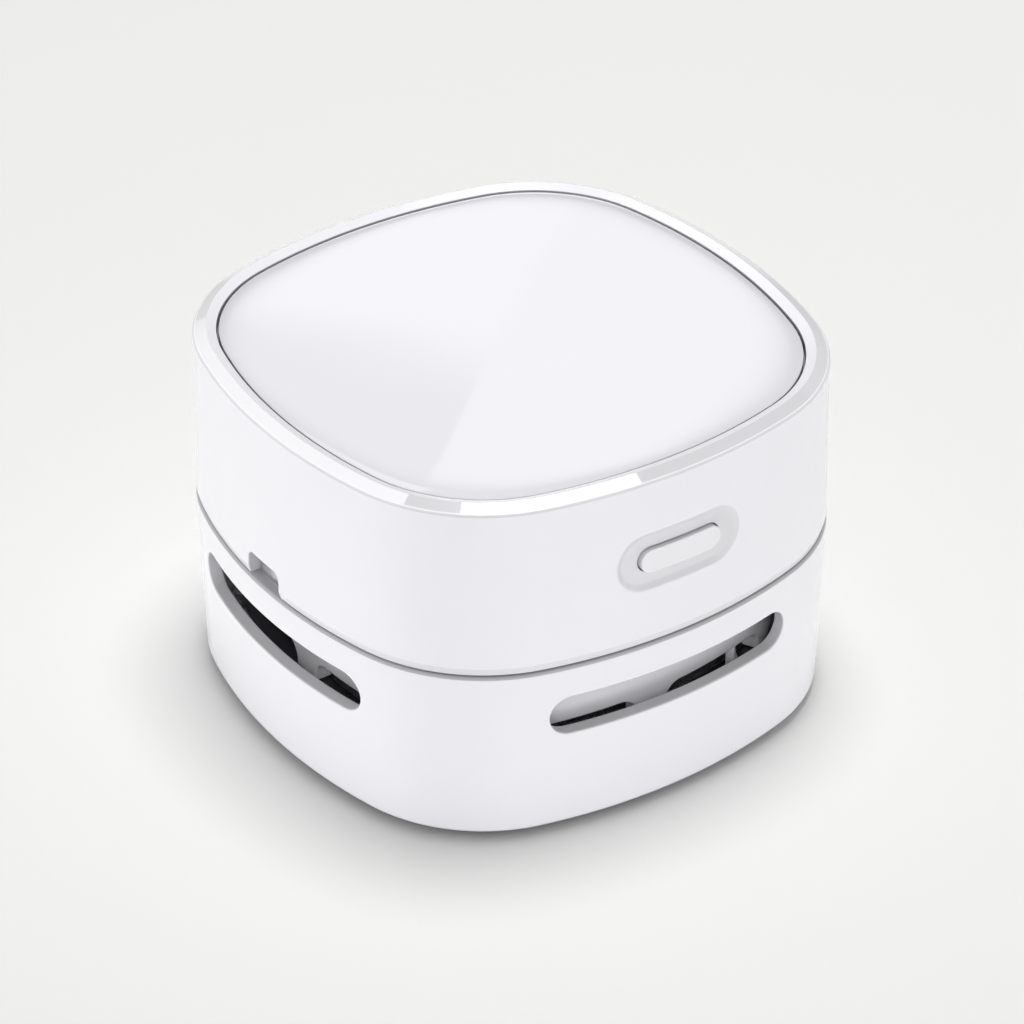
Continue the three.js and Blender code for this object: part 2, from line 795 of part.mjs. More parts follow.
function notch() {
  const shape = archShape(-notchWidth / 2, notchWidth / 2, notchHeight, notchRound, overrun);
  return frontPrism(shape, -splitHalf - overrun, -splitHalf + neckInset, zUpper, -quarter, archSteps);
}

function portHole() {
  const shape = capsule(portWidth + 2 * fitGap, portHeight + 2 * fitGap);
  return frontPrism(shape, -splitHalf - overrun, -splitHalf / 2, zPort, 2 * quarter);
}

function topPanel() {
  const low = zShelf + fitGap;
  const high = low + panelThickness;
  const loops = rows([
    [panelInset, low],
    [panelInset, high - panelEdgeRound],
    [panelInset + panelEdgeRound / 3, high - panelEdgeRound / 3],
    [panelInset + panelEdgeRound, high],
  ]);
  // The top swells as a parabola from its edge to the middle
  const edge = bodyLoop(high, panelInset + panelEdgeRound);
  const crownShares = [0.85, 0.65, 0.4];
  for (const share of crownShares) {
    const z = high + panelCrown * (1 - share ** 2);
    loops.push(edge.map((p) => vector(p.x * share, p.y * share, z)));
  }
  return toSolid(skin(loops, false));
}

// Button and switch

function powerButton() {
  const inset = dishDepth - buttonProud;
  const face = bodyPlate([[inset, zUpper], [inset, zRim - chamferWidth]]);
  const cap = frontPrism(capsule(buttonLength, buttonHeight), -splitHalf - overrun, flangeBack, zButton);
  const wide = capsule(buttonLength + 2 * buttonFlange, buttonHeight + 2 * buttonFlange);
  const flange = frontPrism(wide, flangeFront, flangeBack, zButton);
  const stem = rodAlongY(plungerRadius, flangeFront, stemEnd, 0, zButton, smallSides);
  return join(cap.intersect(face), flange, stem);
}

function switchPlunger() {
  return rodAlongY(plungerRadius, plungerFront, switchFront + plungerEntry, 0, zButton, smallSides);
}

function switchBody() {
  const low = vector(-switchWidth / 2, switchFront, zButton - switchHeight / 2);
  const high = vector(switchWidth / 2, switchFront + switchDepth, zButton + switchHeight / 2);
  const depth = plungerEntry + buttonTravel + fitGap;
  const bore = rodAlongY(
    plungerRadius + fitGap, switchFront - overrun, switchFront + depth, 0, zButton, smallSides,
  );
  return cut(block(low, high), bore);
}

// Motor

function motorCan() {
  return revolve([
    [shaftRadius + fitGap, zCan - nosingLength],
    [nosingRadius, zCan - nosingLength],
    [nosingRadius, zCan],
    [canRadius, zCan],
    [canRadius, zCanTop],
    [canRadius - canWall, zCanTop],
    [canRadius - canWall, zCan + canWall],
    [shaftRadius + fitGap, zCan + canWall],
  ]).subtract(join(...[-1, 1].map((side) => rod(
    shankHole, zCan - overrun, zCan + canWall + overrun, side * motorScrewPitch, 0, smallSides,
  ))));
}

function motorEndCap() {
  const low = zCanTop + fitGap;
  return revolve([
    [shaftRadius + fitGap, low - endCapPlug],
    [canRadius - canWall - fitGap, low - endCapPlug],
    [canRadius - canWall - fitGap, low],
    [canRadius, low],
    [canRadius, low + endCapThickness],
    [nosingRadius, low + endCapThickness],
    [nosingRadius, low + endCapThickness + endCapBoss],
    [shaftRadius + fitGap, low + endCapThickness + endCapBoss],
  ]);
}

function motorTerminal(side) {
  const x = side * terminalPitch;
  const low = zEndCapTop + fitGap;
  return block(
    vector(x - terminalWidth / 2, -terminalThickness / 2, low),
    vector(x + terminalWidth / 2, terminalThickness / 2, low + terminalHeight),
  );
}

function motorMagnet(side) {
  const outer = canRadius - canWall - fitGap;
  const inner = outer - magnetThickness;
  const middle = side > 0 ? 0 : Math.PI;
  const shape = new THREE.Shape()
    .absarc(0, 0, outer, middle - magnetSpan / 2, middle + magnetSpan / 2)
    .absarc(0, 0, inner, middle + magnetSpan / 2, middle - magnetSpan / 2, true);
  return toSolid(new THREE.ExtrudeGeometry(shape, {
    depth: magnetLength, bevelEnabled: false, curveSegments: smallSides / 2,
  }).translate(0, 0, zMagnet));
}

// Laminated core: poles with round shoes, joined at the hub.
function motorArmature() {
  const armatureTop = zArmature + armatureLength;
  const pole = (angle) => {
    const half = Math.PI / armatureSlots;
    const reach = half * shoeSpanShare;
    const shoe = new THREE.Shape()
      .absarc(0, 0, armatureRadius, angle - reach, angle + reach)
      .absarc(0, 0, armatureRadius - armatureShoe, angle + reach, angle - reach, true);
    const plate = toSolid(new THREE.ExtrudeGeometry(shoe, {
      depth: armatureLength, bevelEnabled: false, curveSegments: smallSides / 4,
    }).translate(0, 0, zArmature));
    const neckEnd = armatureRadius - armatureShoe / 2;
    return join(plate, radialRib(shaftRadius, neckEnd, 2 * armatureNeck, zArmature, armatureTop, angle));
  };
  const poles = Array.from({ length: armatureSlots }, (_, i) => pole((i * 2 * Math.PI) / armatureSlots));
  const hub = rod(armatureNeck + armatureShoe, zArmature, armatureTop, 0, 0, smallSides);
  const bore = rod(shaftRadius + fitGap, zArmature - overrun, armatureTop + overrun, 0, 0, smallSides);
  return cut(join(hub, ...poles), bore);
}

function commutator() {
  const low = zArmature + armatureLength + fitGap;
  return revolve([
    [shaftRadius + fitGap, low],
    [commutatorRadius, low],
    [commutatorRadius, low + commutatorLength],
    [shaftRadius + fitGap, low + commutatorLength],
  ], smallSides);
}

function motorShaft() {
  const top = zEndCapTop + endCapBoss + shaftOverhang;
  return rod(shaftRadius, zFanTop - fanPlate - bladeHeight, top, 0, 0, smallSides);
}

// Backward-curved centrifugal fan: flat plate on top, blades below, hub on the shaft.
function impeller() {
  const plateLow = zFanTop - fanPlate;
  const bladeLow = plateLow - bladeHeight;
  const plate = revolve([
    [shaftRadius + fitGap, plateLow],
    [fanRadius, plateLow],
    [fanRadius, zFanTop],
    [shaftRadius + fitGap, zFanTop],
  ], fanSides);
  const hub = revolve([
    [shaftRadius + fitGap, bladeLow],
    [fanHubRadius, bladeLow],
    [fanHubRadius, zFanTop],
    [shaftRadius + fitGap, zFanTop],
  ], smallSides);
  const pitch = (2 * Math.PI) / bladeCount;
  const blades = Array.from({ length: bladeCount }, (_, i) => blade(i * pitch, bladeLow, plateLow));
  return join(plate, hub, ...blades);
}

// The centre line runs from the eye to the rim while its angle trails by the sweep.
function blade(start, low, plateLow) {
  const steps = bladeSteps;
  const centreLine = Array.from({ length: steps + 1 }, (_, i) => {
    const share = i / steps;
    const radius = THREE.MathUtils.lerp(fanEyeRadius, fanRadius, share);
    const angle = start + bladeSweep * share;
    return new THREE.Vector2(radius * Math.cos(angle), radius * Math.sin(angle));
  });
  const edge = (side) => centreLine.map((p, i) => {
    const ahead = centreLine[Math.min(i + 1, steps)];
    const behind = centreLine[Math.max(i - 1, 0)];
    const along = new THREE.Vector2().subVectors(ahead, behind).normalize();
    return new THREE.Vector2(p.x - along.y * side, p.y + along.x * side);
  });
  const outline = [...edge(-bladeThickness / 2), ...edge(bladeThickness / 2).reverse()];
  const depth = plateLow - low + fanPlate / 2;
  return toSolid(new THREE.ExtrudeGeometry(new THREE.Shape(outline), { depth, bevelEnabled: false })
    .translate(0, 0, low));
}

// Chassis and what it carries

function chassisPlate() {
  const squircle = bodyPlate([[chassisInset, zChassis], [chassisInset, zChassisTop]]);
  const clip = postDistance - postRadius - fitGap;
  const diamond = toSolid(new THREE.BoxGeometry(2 * clip, 2 * clip, chassisThickness)
    .translate(0, 0, (zChassis + zChassisTop) / 2).rotateZ(diagonal));
  const foot = zChassisTop - chassisThickness / 2;
  const saddleDepth = cellRadius - saddleWall;
  const saddles = [-1, 1].map((side) => block(
    vector(side * saddlePitch - saddleWidth / 2, cellBack - saddleDepth, foot),
    vector(side * saddlePitch + saddleWidth / 2, cellBack + saddleDepth, zCell - cellRadius / 3),
  ));
  const rails = [-1, 1].map(railPost);
  const portMiddle = portBoardBack - portBoardLength / 2;
  const portPosts = [-1, 1].map((side) => rod(
    portPost, foot, zPortBoard - fitGap, side * portPostPitch, portMiddle, smallSides,
  ));
  const bed = rodAlongX(cellRadius + fitGap, -cellLength, cellLength, cellBack, zCell);
  const motorHole = rod(canRadius + fitGap, zChassis - overrun, zChassisTop + overrun);
  const screwHoles = [-1, 1].map((side) => rod(
    shankHole, zChassis - overrun, zChassisTop + overrun, side * chassisBossDistance, 0, smallSides,
  ));
  const whole = join(squircle.intersect(diamond), ...saddles, ...rails, ...portPosts);
  return cut(whole, bed, motorHole, ...screwHoles);
}

// Post with an upright groove that holds one edge of the control board.
function railPost(side) {
  const inner = boardWidth / 2 - railGrip;
  const middle = -(boardFront - boardThickness / 2);
  const half = boardThickness / 2 + fitGap;
  const between = (a, b, depth, low, high) => block(
    vector(Math.min(side * a, side * b), middle - depth, low),
    vector(Math.max(side * a, side * b), middle + depth, high),
  );
  const foot = zChassisTop - chassisThickness / 2;
  const post = between(inner, inner + railWidth, half + railWall, foot, zChassisTop + railHeight);
  const groove = between(0, boardWidth / 2 + fitGap, half, zChassisTop, zChassisTop + railHeight + overrun);
  return cut(post, groove);
}

function batteryCell() {
  const body = rodAlongX(cellRadius, -cellLength / 2, cellLength / 2, cellBack, zCell);
  const end = cellLength / 2;
  const nub = rodAlongX(cellNub, end - weld, end + cellNubLength, cellBack, zCell, smallSides);
  return join(body, nub);
}

function controlBoard() {
  const low = zChassisTop + fitGap;
  return block(
    vector(-boardWidth / 2, -boardFront, low),
    vector(boardWidth / 2, -boardFront + boardThickness, low + boardHeight),
  );
}

function portBoard() {
  return block(
    vector(-portBoardWidth / 2, portBoardBack - portBoardLength, zPortBoard),
    vector(portBoardWidth / 2, portBoardBack, zPortBoard + boardThickness),
  );
}

// Metal sleeve that is closed at the back, with a tongue inside.
function chargingPort() {
  const outline = capsule(portWidth, portHeight);
  const sleeve = frontPrism(outline, -portBack, -portBack + portLength, zPort, 2 * quarter);
  const hollow = frontPrism(
    capsule(portWidth - 2 * portWall, portHeight - 2 * portWall),
    -portBack - overrun, -portBack + portLength - portWall * 2, zPort, 2 * quarter,
  );
  const tongue = block(
    vector(-portWidth / 2 + portHeight / 2, portBack - portLength + portWall, zPort - portTongue / 2),
    vector(portWidth / 2 - portHeight / 2, portBack - portWall * 2, zPort + portTongue / 2),
  );
  return join(cut(sleeve, hollow), tongue);
}

function columnScrew(q) {
  const [x, y] = atCorner(postDistance, q);
  return screw(x, y, zColumn + columnWeb + fitGap, shellScrewLength, down);
}

function chassisScrew(side) {
  return screw(side * chassisBossDistance, 0, zChassisTop + fitGap, chassisScrewLength, down);
}

function motorScrew(side) {
  return screw(side * motorScrewPitch, 0, zDeck + motorHeadHeight, motorScrewLength, up, motorHeadHeight);
}

// Insulated lead along a smooth curve.
function lead(points) {
  const outline = Array.from({ length: wireSides }, (_, i) => {
    const angle = (i * 2 * Math.PI) / wireSides;
    return new THREE.Vector2(wireRadius * Math.cos(angle), wireRadius * Math.sin(angle));
  });
  return toSolid(new THREE.ExtrudeGeometry(new THREE.Shape(outline), {
    steps: wireSteps, extrudePath: new THREE.CatmullRomCurve3(points),
  }));
}

// Motor lead: over the end cap and down behind the control board.
function motorLead(side) {
  const top = zEndCapTop + fitGap + terminalHeight / 2;
  const start = -terminalThickness / 2 - fitGap;
  const end = -boardFront + boardThickness + fitGap;
  const x = side * terminalPitch;
  return lead([
    vector(x, start, top),
    vector(x, start - canRadius / 2, top + wireRadius),
    vector(x, -canRadius - 2 * wireRadius, top - wireRadius),
    vector(x, (end - canRadius) / 2, zChassisTop + boardHeight - 2 * wireRadius),
    vector(x, end, zChassisTop + boardHeight - 4 * wireRadius),
  ]);
}

// Battery lead: round the motor from one end of the cell to the control board.
function batteryLead(side) {
  const end = -boardFront + boardThickness + fitGap;
  const cellEnd = side * (cellLength / 2 - cellRadius / 2);
  const out = side * (canRadius + 4 * wireRadius);
  const low = zChassisTop + 4 * wireRadius;
  return lead([
    vector(cellEnd, cellBack - cellRadius - wireRadius - fitGap, zCell),
    vector(cellEnd, cellBack - cellRadius - 4 * wireRadius, zCell - 2 * wireRadius),
    vector(out + side * wireRadius, 0, low + 2 * wireRadius),
    vector(out - side * wireRadius, end / 2, low),
    vector(side * boardWidth / 3, end + 4 * wireRadius, low),
    vector(side * boardWidth / 3, end, low),
  ]);
}

// Assembly
const unit = new THREE.Group();
const dustBox = new THREE.Group();
const mainUnit = new THREE.Group();
const rotor = new THREE.Group();
const button = new THREE.Group();
const filter = new THREE.Group();
mainUnit.add(rotor, button, filter);
unit.add(dustBox, mainUnit);

function place(group, name, solid, material) {
  const mesh = new THREE.Mesh(toGeometry(solid), material);
  mesh.name = name;
  group.add(mesh);
}

place(dustBox, 'lower_shell', lowerShell(), materials.gloss);
place(dustBox, 'base_plate', basePlate(), materials.satin);
const stripNames = ['front', 'right', 'rear', 'left'];
stripNames.forEach((name, i) => {
  place(dustBox, `brush_${name}`, brushStrip(i * quarter), materials.bristle);
});
corners.forEach((q) => place(dustBox, `glide_foot_${q + 1}`, glideFoot(q), materials.glide));
corners.forEach((q) => place(dustBox, `base_screw_${q + 1}`, baseScrew(q), materials.steel));

place(filter, 'filter_frame', filterFrame(), materials.dark);
place(filter, 'filter_mesh', filterMesh(), materials.filter);

place(mainUnit, 'fan_housing', fanHousing(), materials.satin);
place(mainUnit, 'neck_seal', neckSeal(), materials.rubber);
place(mainUnit, 'upper_shell', upperShell(), materials.gloss);
place(mainUnit, 'top_panel', topPanel(), materials.gloss);
corners.forEach((q) => place(mainUnit, `shell_screw_${q + 1}`, columnScrew(q), materials.steel));
place(mainUnit, 'chassis_plate', chassisPlate(), materials.satin);
place(mainUnit, 'chassis_screw_left', chassisScrew(-1), materials.steel);
place(mainUnit, 'chassis_screw_right', chassisScrew(1), materials.steel);
place(mainUnit, 'motor_can', motorCan(), materials.steel);
place(mainUnit, 'motor_end_cap', motorEndCap(), materials.black);
place(mainUnit, 'motor_terminal_left', motorTerminal(-1), materials.brass);
place(mainUnit, 'motor_terminal_right', motorTerminal(1), materials.brass);
place(mainUnit, 'motor_magnet_left', motorMagnet(-1), materials.ferrite);
place(mainUnit, 'motor_magnet_right', motorMagnet(1), materials.ferrite);
place(mainUnit, 'motor_screw_left', motorScrew(-1), materials.steel);
place(mainUnit, 'motor_screw_right', motorScrew(1), materials.steel);
place(mainUnit, 'battery_cell', batteryCell(), materials.cell);
place(mainUnit, 'control_board', controlBoard(), materials.board);
place(mainUnit, 'switch_body', switchBody(), materials.black);
place(mainUnit, 'port_board', portBoard(), materials.board);
place(mainUnit, 'charging_port', chargingPort(), materials.steel);
place(mainUnit, 'motor_lead_red', motorLead(1), materials.red);
place(mainUnit, 'motor_lead_black', motorLead(-1), materials.black);
place(mainUnit, 'battery_lead_red', batteryLead(1), materials.red);
place(mainUnit, 'battery_lead_black', batteryLead(-1), materials.black);

place(rotor, 'impeller', impeller(), materials.dark);
place(rotor, 'motor_shaft', motorShaft(), materials.steel);
place(rotor, 'motor_armature', motorArmature(), materials.copper);
place(rotor, 'commutator', commutator(), materials.copper);

place(button, 'power_button', powerButton(), materials.gloss);
place(button, 'switch_plunger', switchPlunger(), materials.dark);

export default unit;
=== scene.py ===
"""Looks of the desktop mini vacuum cleaner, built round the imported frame.

Sizes in the classes are millimetres, as on a maker's drawing. They become metres when a mesh is made.
The body's outline is worked out first, and every casing, ring and panel follows it.
"""

import logging
import math
from dataclasses import dataclass, field, replace
from enum import Enum
from typing import Sequence

import bmesh
import bpy
import numpy as np
from mathutils import Matrix, Vector


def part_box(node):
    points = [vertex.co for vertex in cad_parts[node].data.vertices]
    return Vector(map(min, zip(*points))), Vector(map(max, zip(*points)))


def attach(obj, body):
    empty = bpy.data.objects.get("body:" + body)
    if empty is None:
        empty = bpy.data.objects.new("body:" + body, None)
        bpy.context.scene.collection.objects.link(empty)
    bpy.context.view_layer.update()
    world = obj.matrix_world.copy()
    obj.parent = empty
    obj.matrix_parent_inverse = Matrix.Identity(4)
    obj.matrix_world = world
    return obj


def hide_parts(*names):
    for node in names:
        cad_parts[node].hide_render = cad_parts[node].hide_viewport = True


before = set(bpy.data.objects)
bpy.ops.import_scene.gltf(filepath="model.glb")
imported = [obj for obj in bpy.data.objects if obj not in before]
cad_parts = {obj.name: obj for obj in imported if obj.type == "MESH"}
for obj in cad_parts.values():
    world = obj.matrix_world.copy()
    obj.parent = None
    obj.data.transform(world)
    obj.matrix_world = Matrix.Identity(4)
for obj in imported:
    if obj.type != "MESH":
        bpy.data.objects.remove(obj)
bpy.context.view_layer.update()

log = logging.getLogger("mini_vacuum")

MM = 0.001
CREASE = 0.9  # radians between two faces, past which the edge between them is shaded sharp
QUARTER = math.pi / 2
DIAGONAL = math.pi / 4
WELD = 0.002  # millimetres within which two points become one

Values = np.ndarray | float


def low_of(node: str) -> np.ndarray:
    """Lowest corner of a CAD node's box, in millimetres."""
    return np.array(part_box(node)[0]) / MM


def high_of(node: str) -> np.ndarray:
    """Highest corner of a CAD node's box, in millimetres."""
    return np.array(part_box(node)[1]) / MM


def foot_of(node: str) -> float:
    """Height of a CAD node's underside, in millimetres."""
    return float(low_of(node)[2])


def top_of(node: str) -> float:
    """Height of a CAD node's top, in millimetres."""
    return float(high_of(node)[2])


def placed(name: str, data: bpy.types.ID) -> bpy.types.Object:
    """A new object with its data, linked to the scene."""
    thing = bpy.data.objects.new(name, data)
    bpy.context.scene.collection.objects.link(thing)
    return thing


# Body outline


@dataclass(frozen=True)
class Loop:
    """One level of the outline: a rounded square of four flat side arcs and four tight corner arcs."""

    half: float
    side: float
    corner: float


@dataclass(frozen=True)
class BodyForm:
    """The body as loops that change evenly from the foot to the parting line and on to the rim."""

    foot: float
    split: float
    rim: float
    foot_loop: Loop = Loop(39.1, 78.0, 23.2)
    split_loop: Loop = Loop(40.0, 73.8, 24.6)
    rim_loop: Loop = Loop(39.3, 78.5, 24.2)

    def arcs(self, z: Values, inset: Values) -> tuple[np.ndarray, ...]:
        """Arcs of the loop at a height.

        A side arc's centre lies behind the axis by its radius less the half width. A corner arc's
        centre lies on the diagonal, where the two arcs touch without a kink.

        Args:
            z: heights.
            inset: distances inwards from the outline.

        Returns:
            Side radius, corner radius, the side centre's setback, the corner centre's shift and the
            angle at which the side arc ends.
        """
        heights = (self.foot, self.split, self.rim)
        loops = (self.foot_loop, self.split_loop, self.rim_loop)
        half = np.interp(z, heights, [loop.half for loop in loops]) - inset
        side = np.interp(z, heights, [loop.side for loop in loops]) - inset
        corner = np.interp(z, heights, [loop.corner for loop in loops]) - inset
        back = side - half
        shift = (np.sqrt(2 * (side - corner) ** 2 - back**2) - back) / 2
        return side, corner, back, shift, np.arctan2(shift, shift + back)

    def place(self, angle: Values, z: Values, inset: Values) -> np.ndarray:
        """Points of the loops where the outline faces a given way.

        Args:
            angle: direction that the outline faces, in radians from +X.
            z: heights.
            inset: distances inwards from the outline.

        Returns:
            Points, with x, y and z along the last axis.
        """
        angle, z, inset = np.broadcast_arrays(angle, z, inset)
        side, corner, back, shift, lean = self.arcs(z, inset)
        turn = np.round(angle / QUARTER) * QUARTER
        local = angle - turn
        flat = np.abs(local) <= lean
        x = np.where(flat, -back + side * np.cos(local), shift + corner * np.cos(local))
        y = np.where(flat, side * np.sin(local), np.sign(local) * shift + corner * np.sin(local))
        cosine, sine = np.cos(turn), np.sin(turn)
        return np.stack([x * cosine - y * sine, x * sine + y * cosine, z], axis=-1)

    def facing(self, across: Values, z: Values, inset: Values) -> np.ndarray:
        """Direction that a side faces at a distance across from its middle.

        On the side arc the sine of the angle is the distance over the radius. Past the arc's end the
        corner arc takes over, from its own centre.

        Args:
            across: distances from the side's middle.
            z: heights.
            inset: distances inwards from the outline.

        Returns:
            Angles from the side's own direction, in radians.
        """
        side, corner, _, shift, lean = self.arcs(z, inset)
        distance = np.abs(across)
        on_side = np.arcsin(np.clip(distance / side, 0, 1))
        on_corner = np.arcsin(np.clip((distance - shift) / corner, 0, 1))
        return np.sign(across) * np.where(distance <= side * np.sin(lean), on_side, on_corner)

    def corner_reach(self, z: float, inset: float) -> float:
        """Distance from the axis to the outline along the diagonal."""
        return float(np.linalg.norm(self.place(DIAGONAL, z, inset)[:2]))


FORM = BodyForm(foot=foot_of("lower_shell"), split=top_of("lower_shell"), rim=top_of("upper_shell"))


# Meshes


def grid_quads(index: np.ndarray) -> np.ndarray:
    """Quads between neighbouring rows and columns of a grid of point numbers."""
    return np.stack([index[:-1, :-1], index[:-1, 1:], index[1:, 1:], index[1:, :-1]], axis=-1)


def mark_creases(shape: bmesh.types.BMesh) -> None:
    """Shades an edge sharp where its two faces meet at more than the crease angle."""
    for edge in shape.edges:
        edge.smooth = not edge.is_manifold or edge.calc_face_angle(0.0) < CREASE


class Sketch:
    """Collects grids of points and turns them into one closed mesh."""

    def __init__(self) -> None:
        """Starts with nothing drawn."""
        self.points: list[np.ndarray] = []
        self.quads: list[np.ndarray] = []
        self.finishes: list[np.ndarray] = []
        self.count = 0

    def grid(
        self,
        points: np.ndarray,
        wrap_rows: bool = False,
        wrap_columns: bool = False,
        keep: np.ndarray | None = None,
        finish: np.ndarray | int = 0,
    ) -> None:
        """Adds a grid of points and the quads between them.

        Args:
            points: rows by columns of points, in millimetres.
            wrap_rows: joins the last row to the first.
            wrap_columns: joins the last column to the first.
            keep: which quads are drawn, rows by columns.
            finish: number of the finish of each row of quads.
        """
        rows, columns = points.shape[:2]
        index = np.arange(rows * columns).reshape(rows, columns) + self.count
        if wrap_rows:
            index = np.vstack([index, index[:1]])
        if wrap_columns:
            index = np.hstack([index, index[:, :1]])
        quads = grid_quads(index)
        number = np.broadcast_to(np.reshape(finish, (-1, 1)), quads.shape[:2])
        drawn = np.ones(quads.shape[:2], bool) if keep is None else keep
        self.points.append(points.reshape(-1, 3))
        self.quads.append(quads[drawn])
        self.finishes.append(number[drawn])
        self.count += rows * columns

    def loft(self, rows: np.ndarray, finish: np.ndarray | int = 0) -> None:
        """Adds a solid whose rows are closed loops, from a first loop or point to a last one."""
        self.grid(rows, wrap_columns=True, finish=finish)

    def ring(self, rows: np.ndarray, finish: np.ndarray | int = 0) -> None:
        """Adds a ring whose rows are closed loops and whose last row meets its first."""
        self.grid(rows, wrap_rows=True, wrap_columns=True, finish=finish)

    def capped(self, rows: Sequence[np.ndarray]) -> None:
        """Adds a solid of closed loops and gathers its first and last loop into their middles."""
        ends = [np.broadcast_to(row.mean(axis=0), row.shape) for row in (rows[0], rows[-1])]
        self.loft(np.array([ends[0], *rows, ends[1]]))

    def mesh(self, name: str) -> bpy.types.Mesh:
        """Welds what was drawn, turns its faces outwards and gives the mesh, in metres."""
        data = bpy.data.meshes.new(name)
        points = np.concatenate(self.points) * MM
        quads = np.concatenate(self.quads)
        data.from_pydata(points, [], quads)
        data.polygons.foreach_set("material_index", np.concatenate(self.finishes).astype(np.int32))
        data.polygons.foreach_set("use_smooth", np.ones(len(quads), bool))
        shape = bmesh.new()
        shape.from_mesh(data)
        bmesh.ops.remove_doubles(shape, verts=shape.verts, dist=WELD * MM)
        bmesh.ops.dissolve_degenerate(shape, dist=WELD / 4 * MM, edges=shape.edges)
        bmesh.ops.recalc_face_normals(shape, faces=shape.faces)
        mark_creases(shape)
        shape.to_mesh(data)
        shape.free()
        return data


def turned_about_z(points: np.ndarray, angle: float) -> np.ndarray:
    """Points turned about the body's axis by an angle."""
    cosine, sine = math.cos(angle), math.sin(angle)
    return points @ np.array([[cosine, sine, 0], [-sine, cosine, 0], [0, 0, 1]])


def polar(radius: Values, angle: Values, z: Values) -> np.ndarray:
    """Points at a distance from the body's axis and an angle round it, at a height."""
    return np.stack(np.broadcast_arrays(radius * np.cos(angle), radius * np.sin(angle), z), axis=-1)


def corner_places(distance: float) -> list[tuple[float, float]]:
    """Where the four diagonals are a distance from the body's axis."""
    angles = [DIAGONAL + q * QUARTER for q in range(4)]
    return [(distance * math.cos(angle), distance * math.sin(angle)) for angle in angles]


def smooth_step(share: np.ndarray) -> np.ndarray:
    """A share from 0 to 1 that starts and ends without a kink."""
    share = np.clip(share, 0, 1)
    return share**2 * (3 - 2 * share)


def softened(corners: Sequence[tuple[float, float, float]], steps: int = 4) -> np.ndarray:
    """A profile whose corners are rounded.

    Each corner is replaced by an arc that touches both of its edges, with a further point just before
    and after it, so that the flat stretches stay flat when they are shaded.

    Args:
        corners: inset or radius, height, and radius of the rounding, for each corner. The first and
            the last corner are kept as they are.
        steps: faces round each corner.

    Returns:
        Points of the profile.
    """
    places = np.array([corner[:2] for corner in corners], float)
    points = [places[0]]
    for i in range(1, len(corners) - 1):
        radius = corners[i][2]
        before, after = places[i - 1] - places[i], places[i + 1] - places[i]
        lengths = np.linalg.norm(before), np.linalg.norm(after)
        before, after = before / lengths[0], after / lengths[1]
        half = math.acos(np.clip(before @ after, -1, 1)) / 2
        if radius == 0 or half > 0.999 * QUARTER:
            points.append(places[i])
            continue
        reach = min(radius / math.tan(half), 0.49 * min(lengths))
        radius = reach * math.tan(half)
        middle = (before + after) / np.linalg.norm(before + after)
        centre = places[i] + middle * radius / math.sin(half)
        support = min(1.6 * reach, 0.499 * min(lengths))
        start, end = places[i] + before * reach, places[i] + after * reach
        first, last = start - centre, end - centre
        swing = math.acos(np.clip(first @ last / radius**2, -1, 1))
        share = np.linspace(0, 1, steps + 1)[:, None]
        arc = (np.sin((1 - share) * swing) * first + np.sin(share * swing) * last) / math.sin(swing)
        points.append(places[i] + before * support)
        points.extend(centre + arc)
        points.append(places[i] + after * support)
    points.append(places[-1])
    return np.array(points)


# Walls that follow the body, with openings


@dataclass(frozen=True)
class Stage:
    """One contour of an opening: how far it stands off the core, how deep, and its finish from there."""

    radius: float
    depth: float
    reach: float = 1.0
    finish: int = 0


@dataclass(frozen=True)
class Opening:
    """Opening with round corners through a wall, cut into a rectangle of the wall's own grid.

    Its contours stand round a core, which is a line for a capsule and a rectangle for an arch. The
    first stages lie on the outer skin, the last on the inner one.
    """

    quarter: int
    across: tuple[float, float]
    heights: tuple[float, float]
    core_across: tuple[float, float]
    core_heights: tuple[float, float]
    stages: tuple[Stage, ...]
    open_foot: bool = False


def wall_table(inset: float) -> tuple[np.ndarray, np.ndarray]:
    """Directions from one corner over two sides, and the length of wall from the first side's middle."""
    angle = np.linspace(-DIAGONAL, 3 * DIAGONAL, 801)
    points = FORM.place(angle, FORM.foot, inset)
    steps = np.linalg.norm(np.diff(points, axis=0), axis=-1)
    length = np.concatenate([[0], np.cumsum(steps)])
    return angle, length - length[-1] / 4


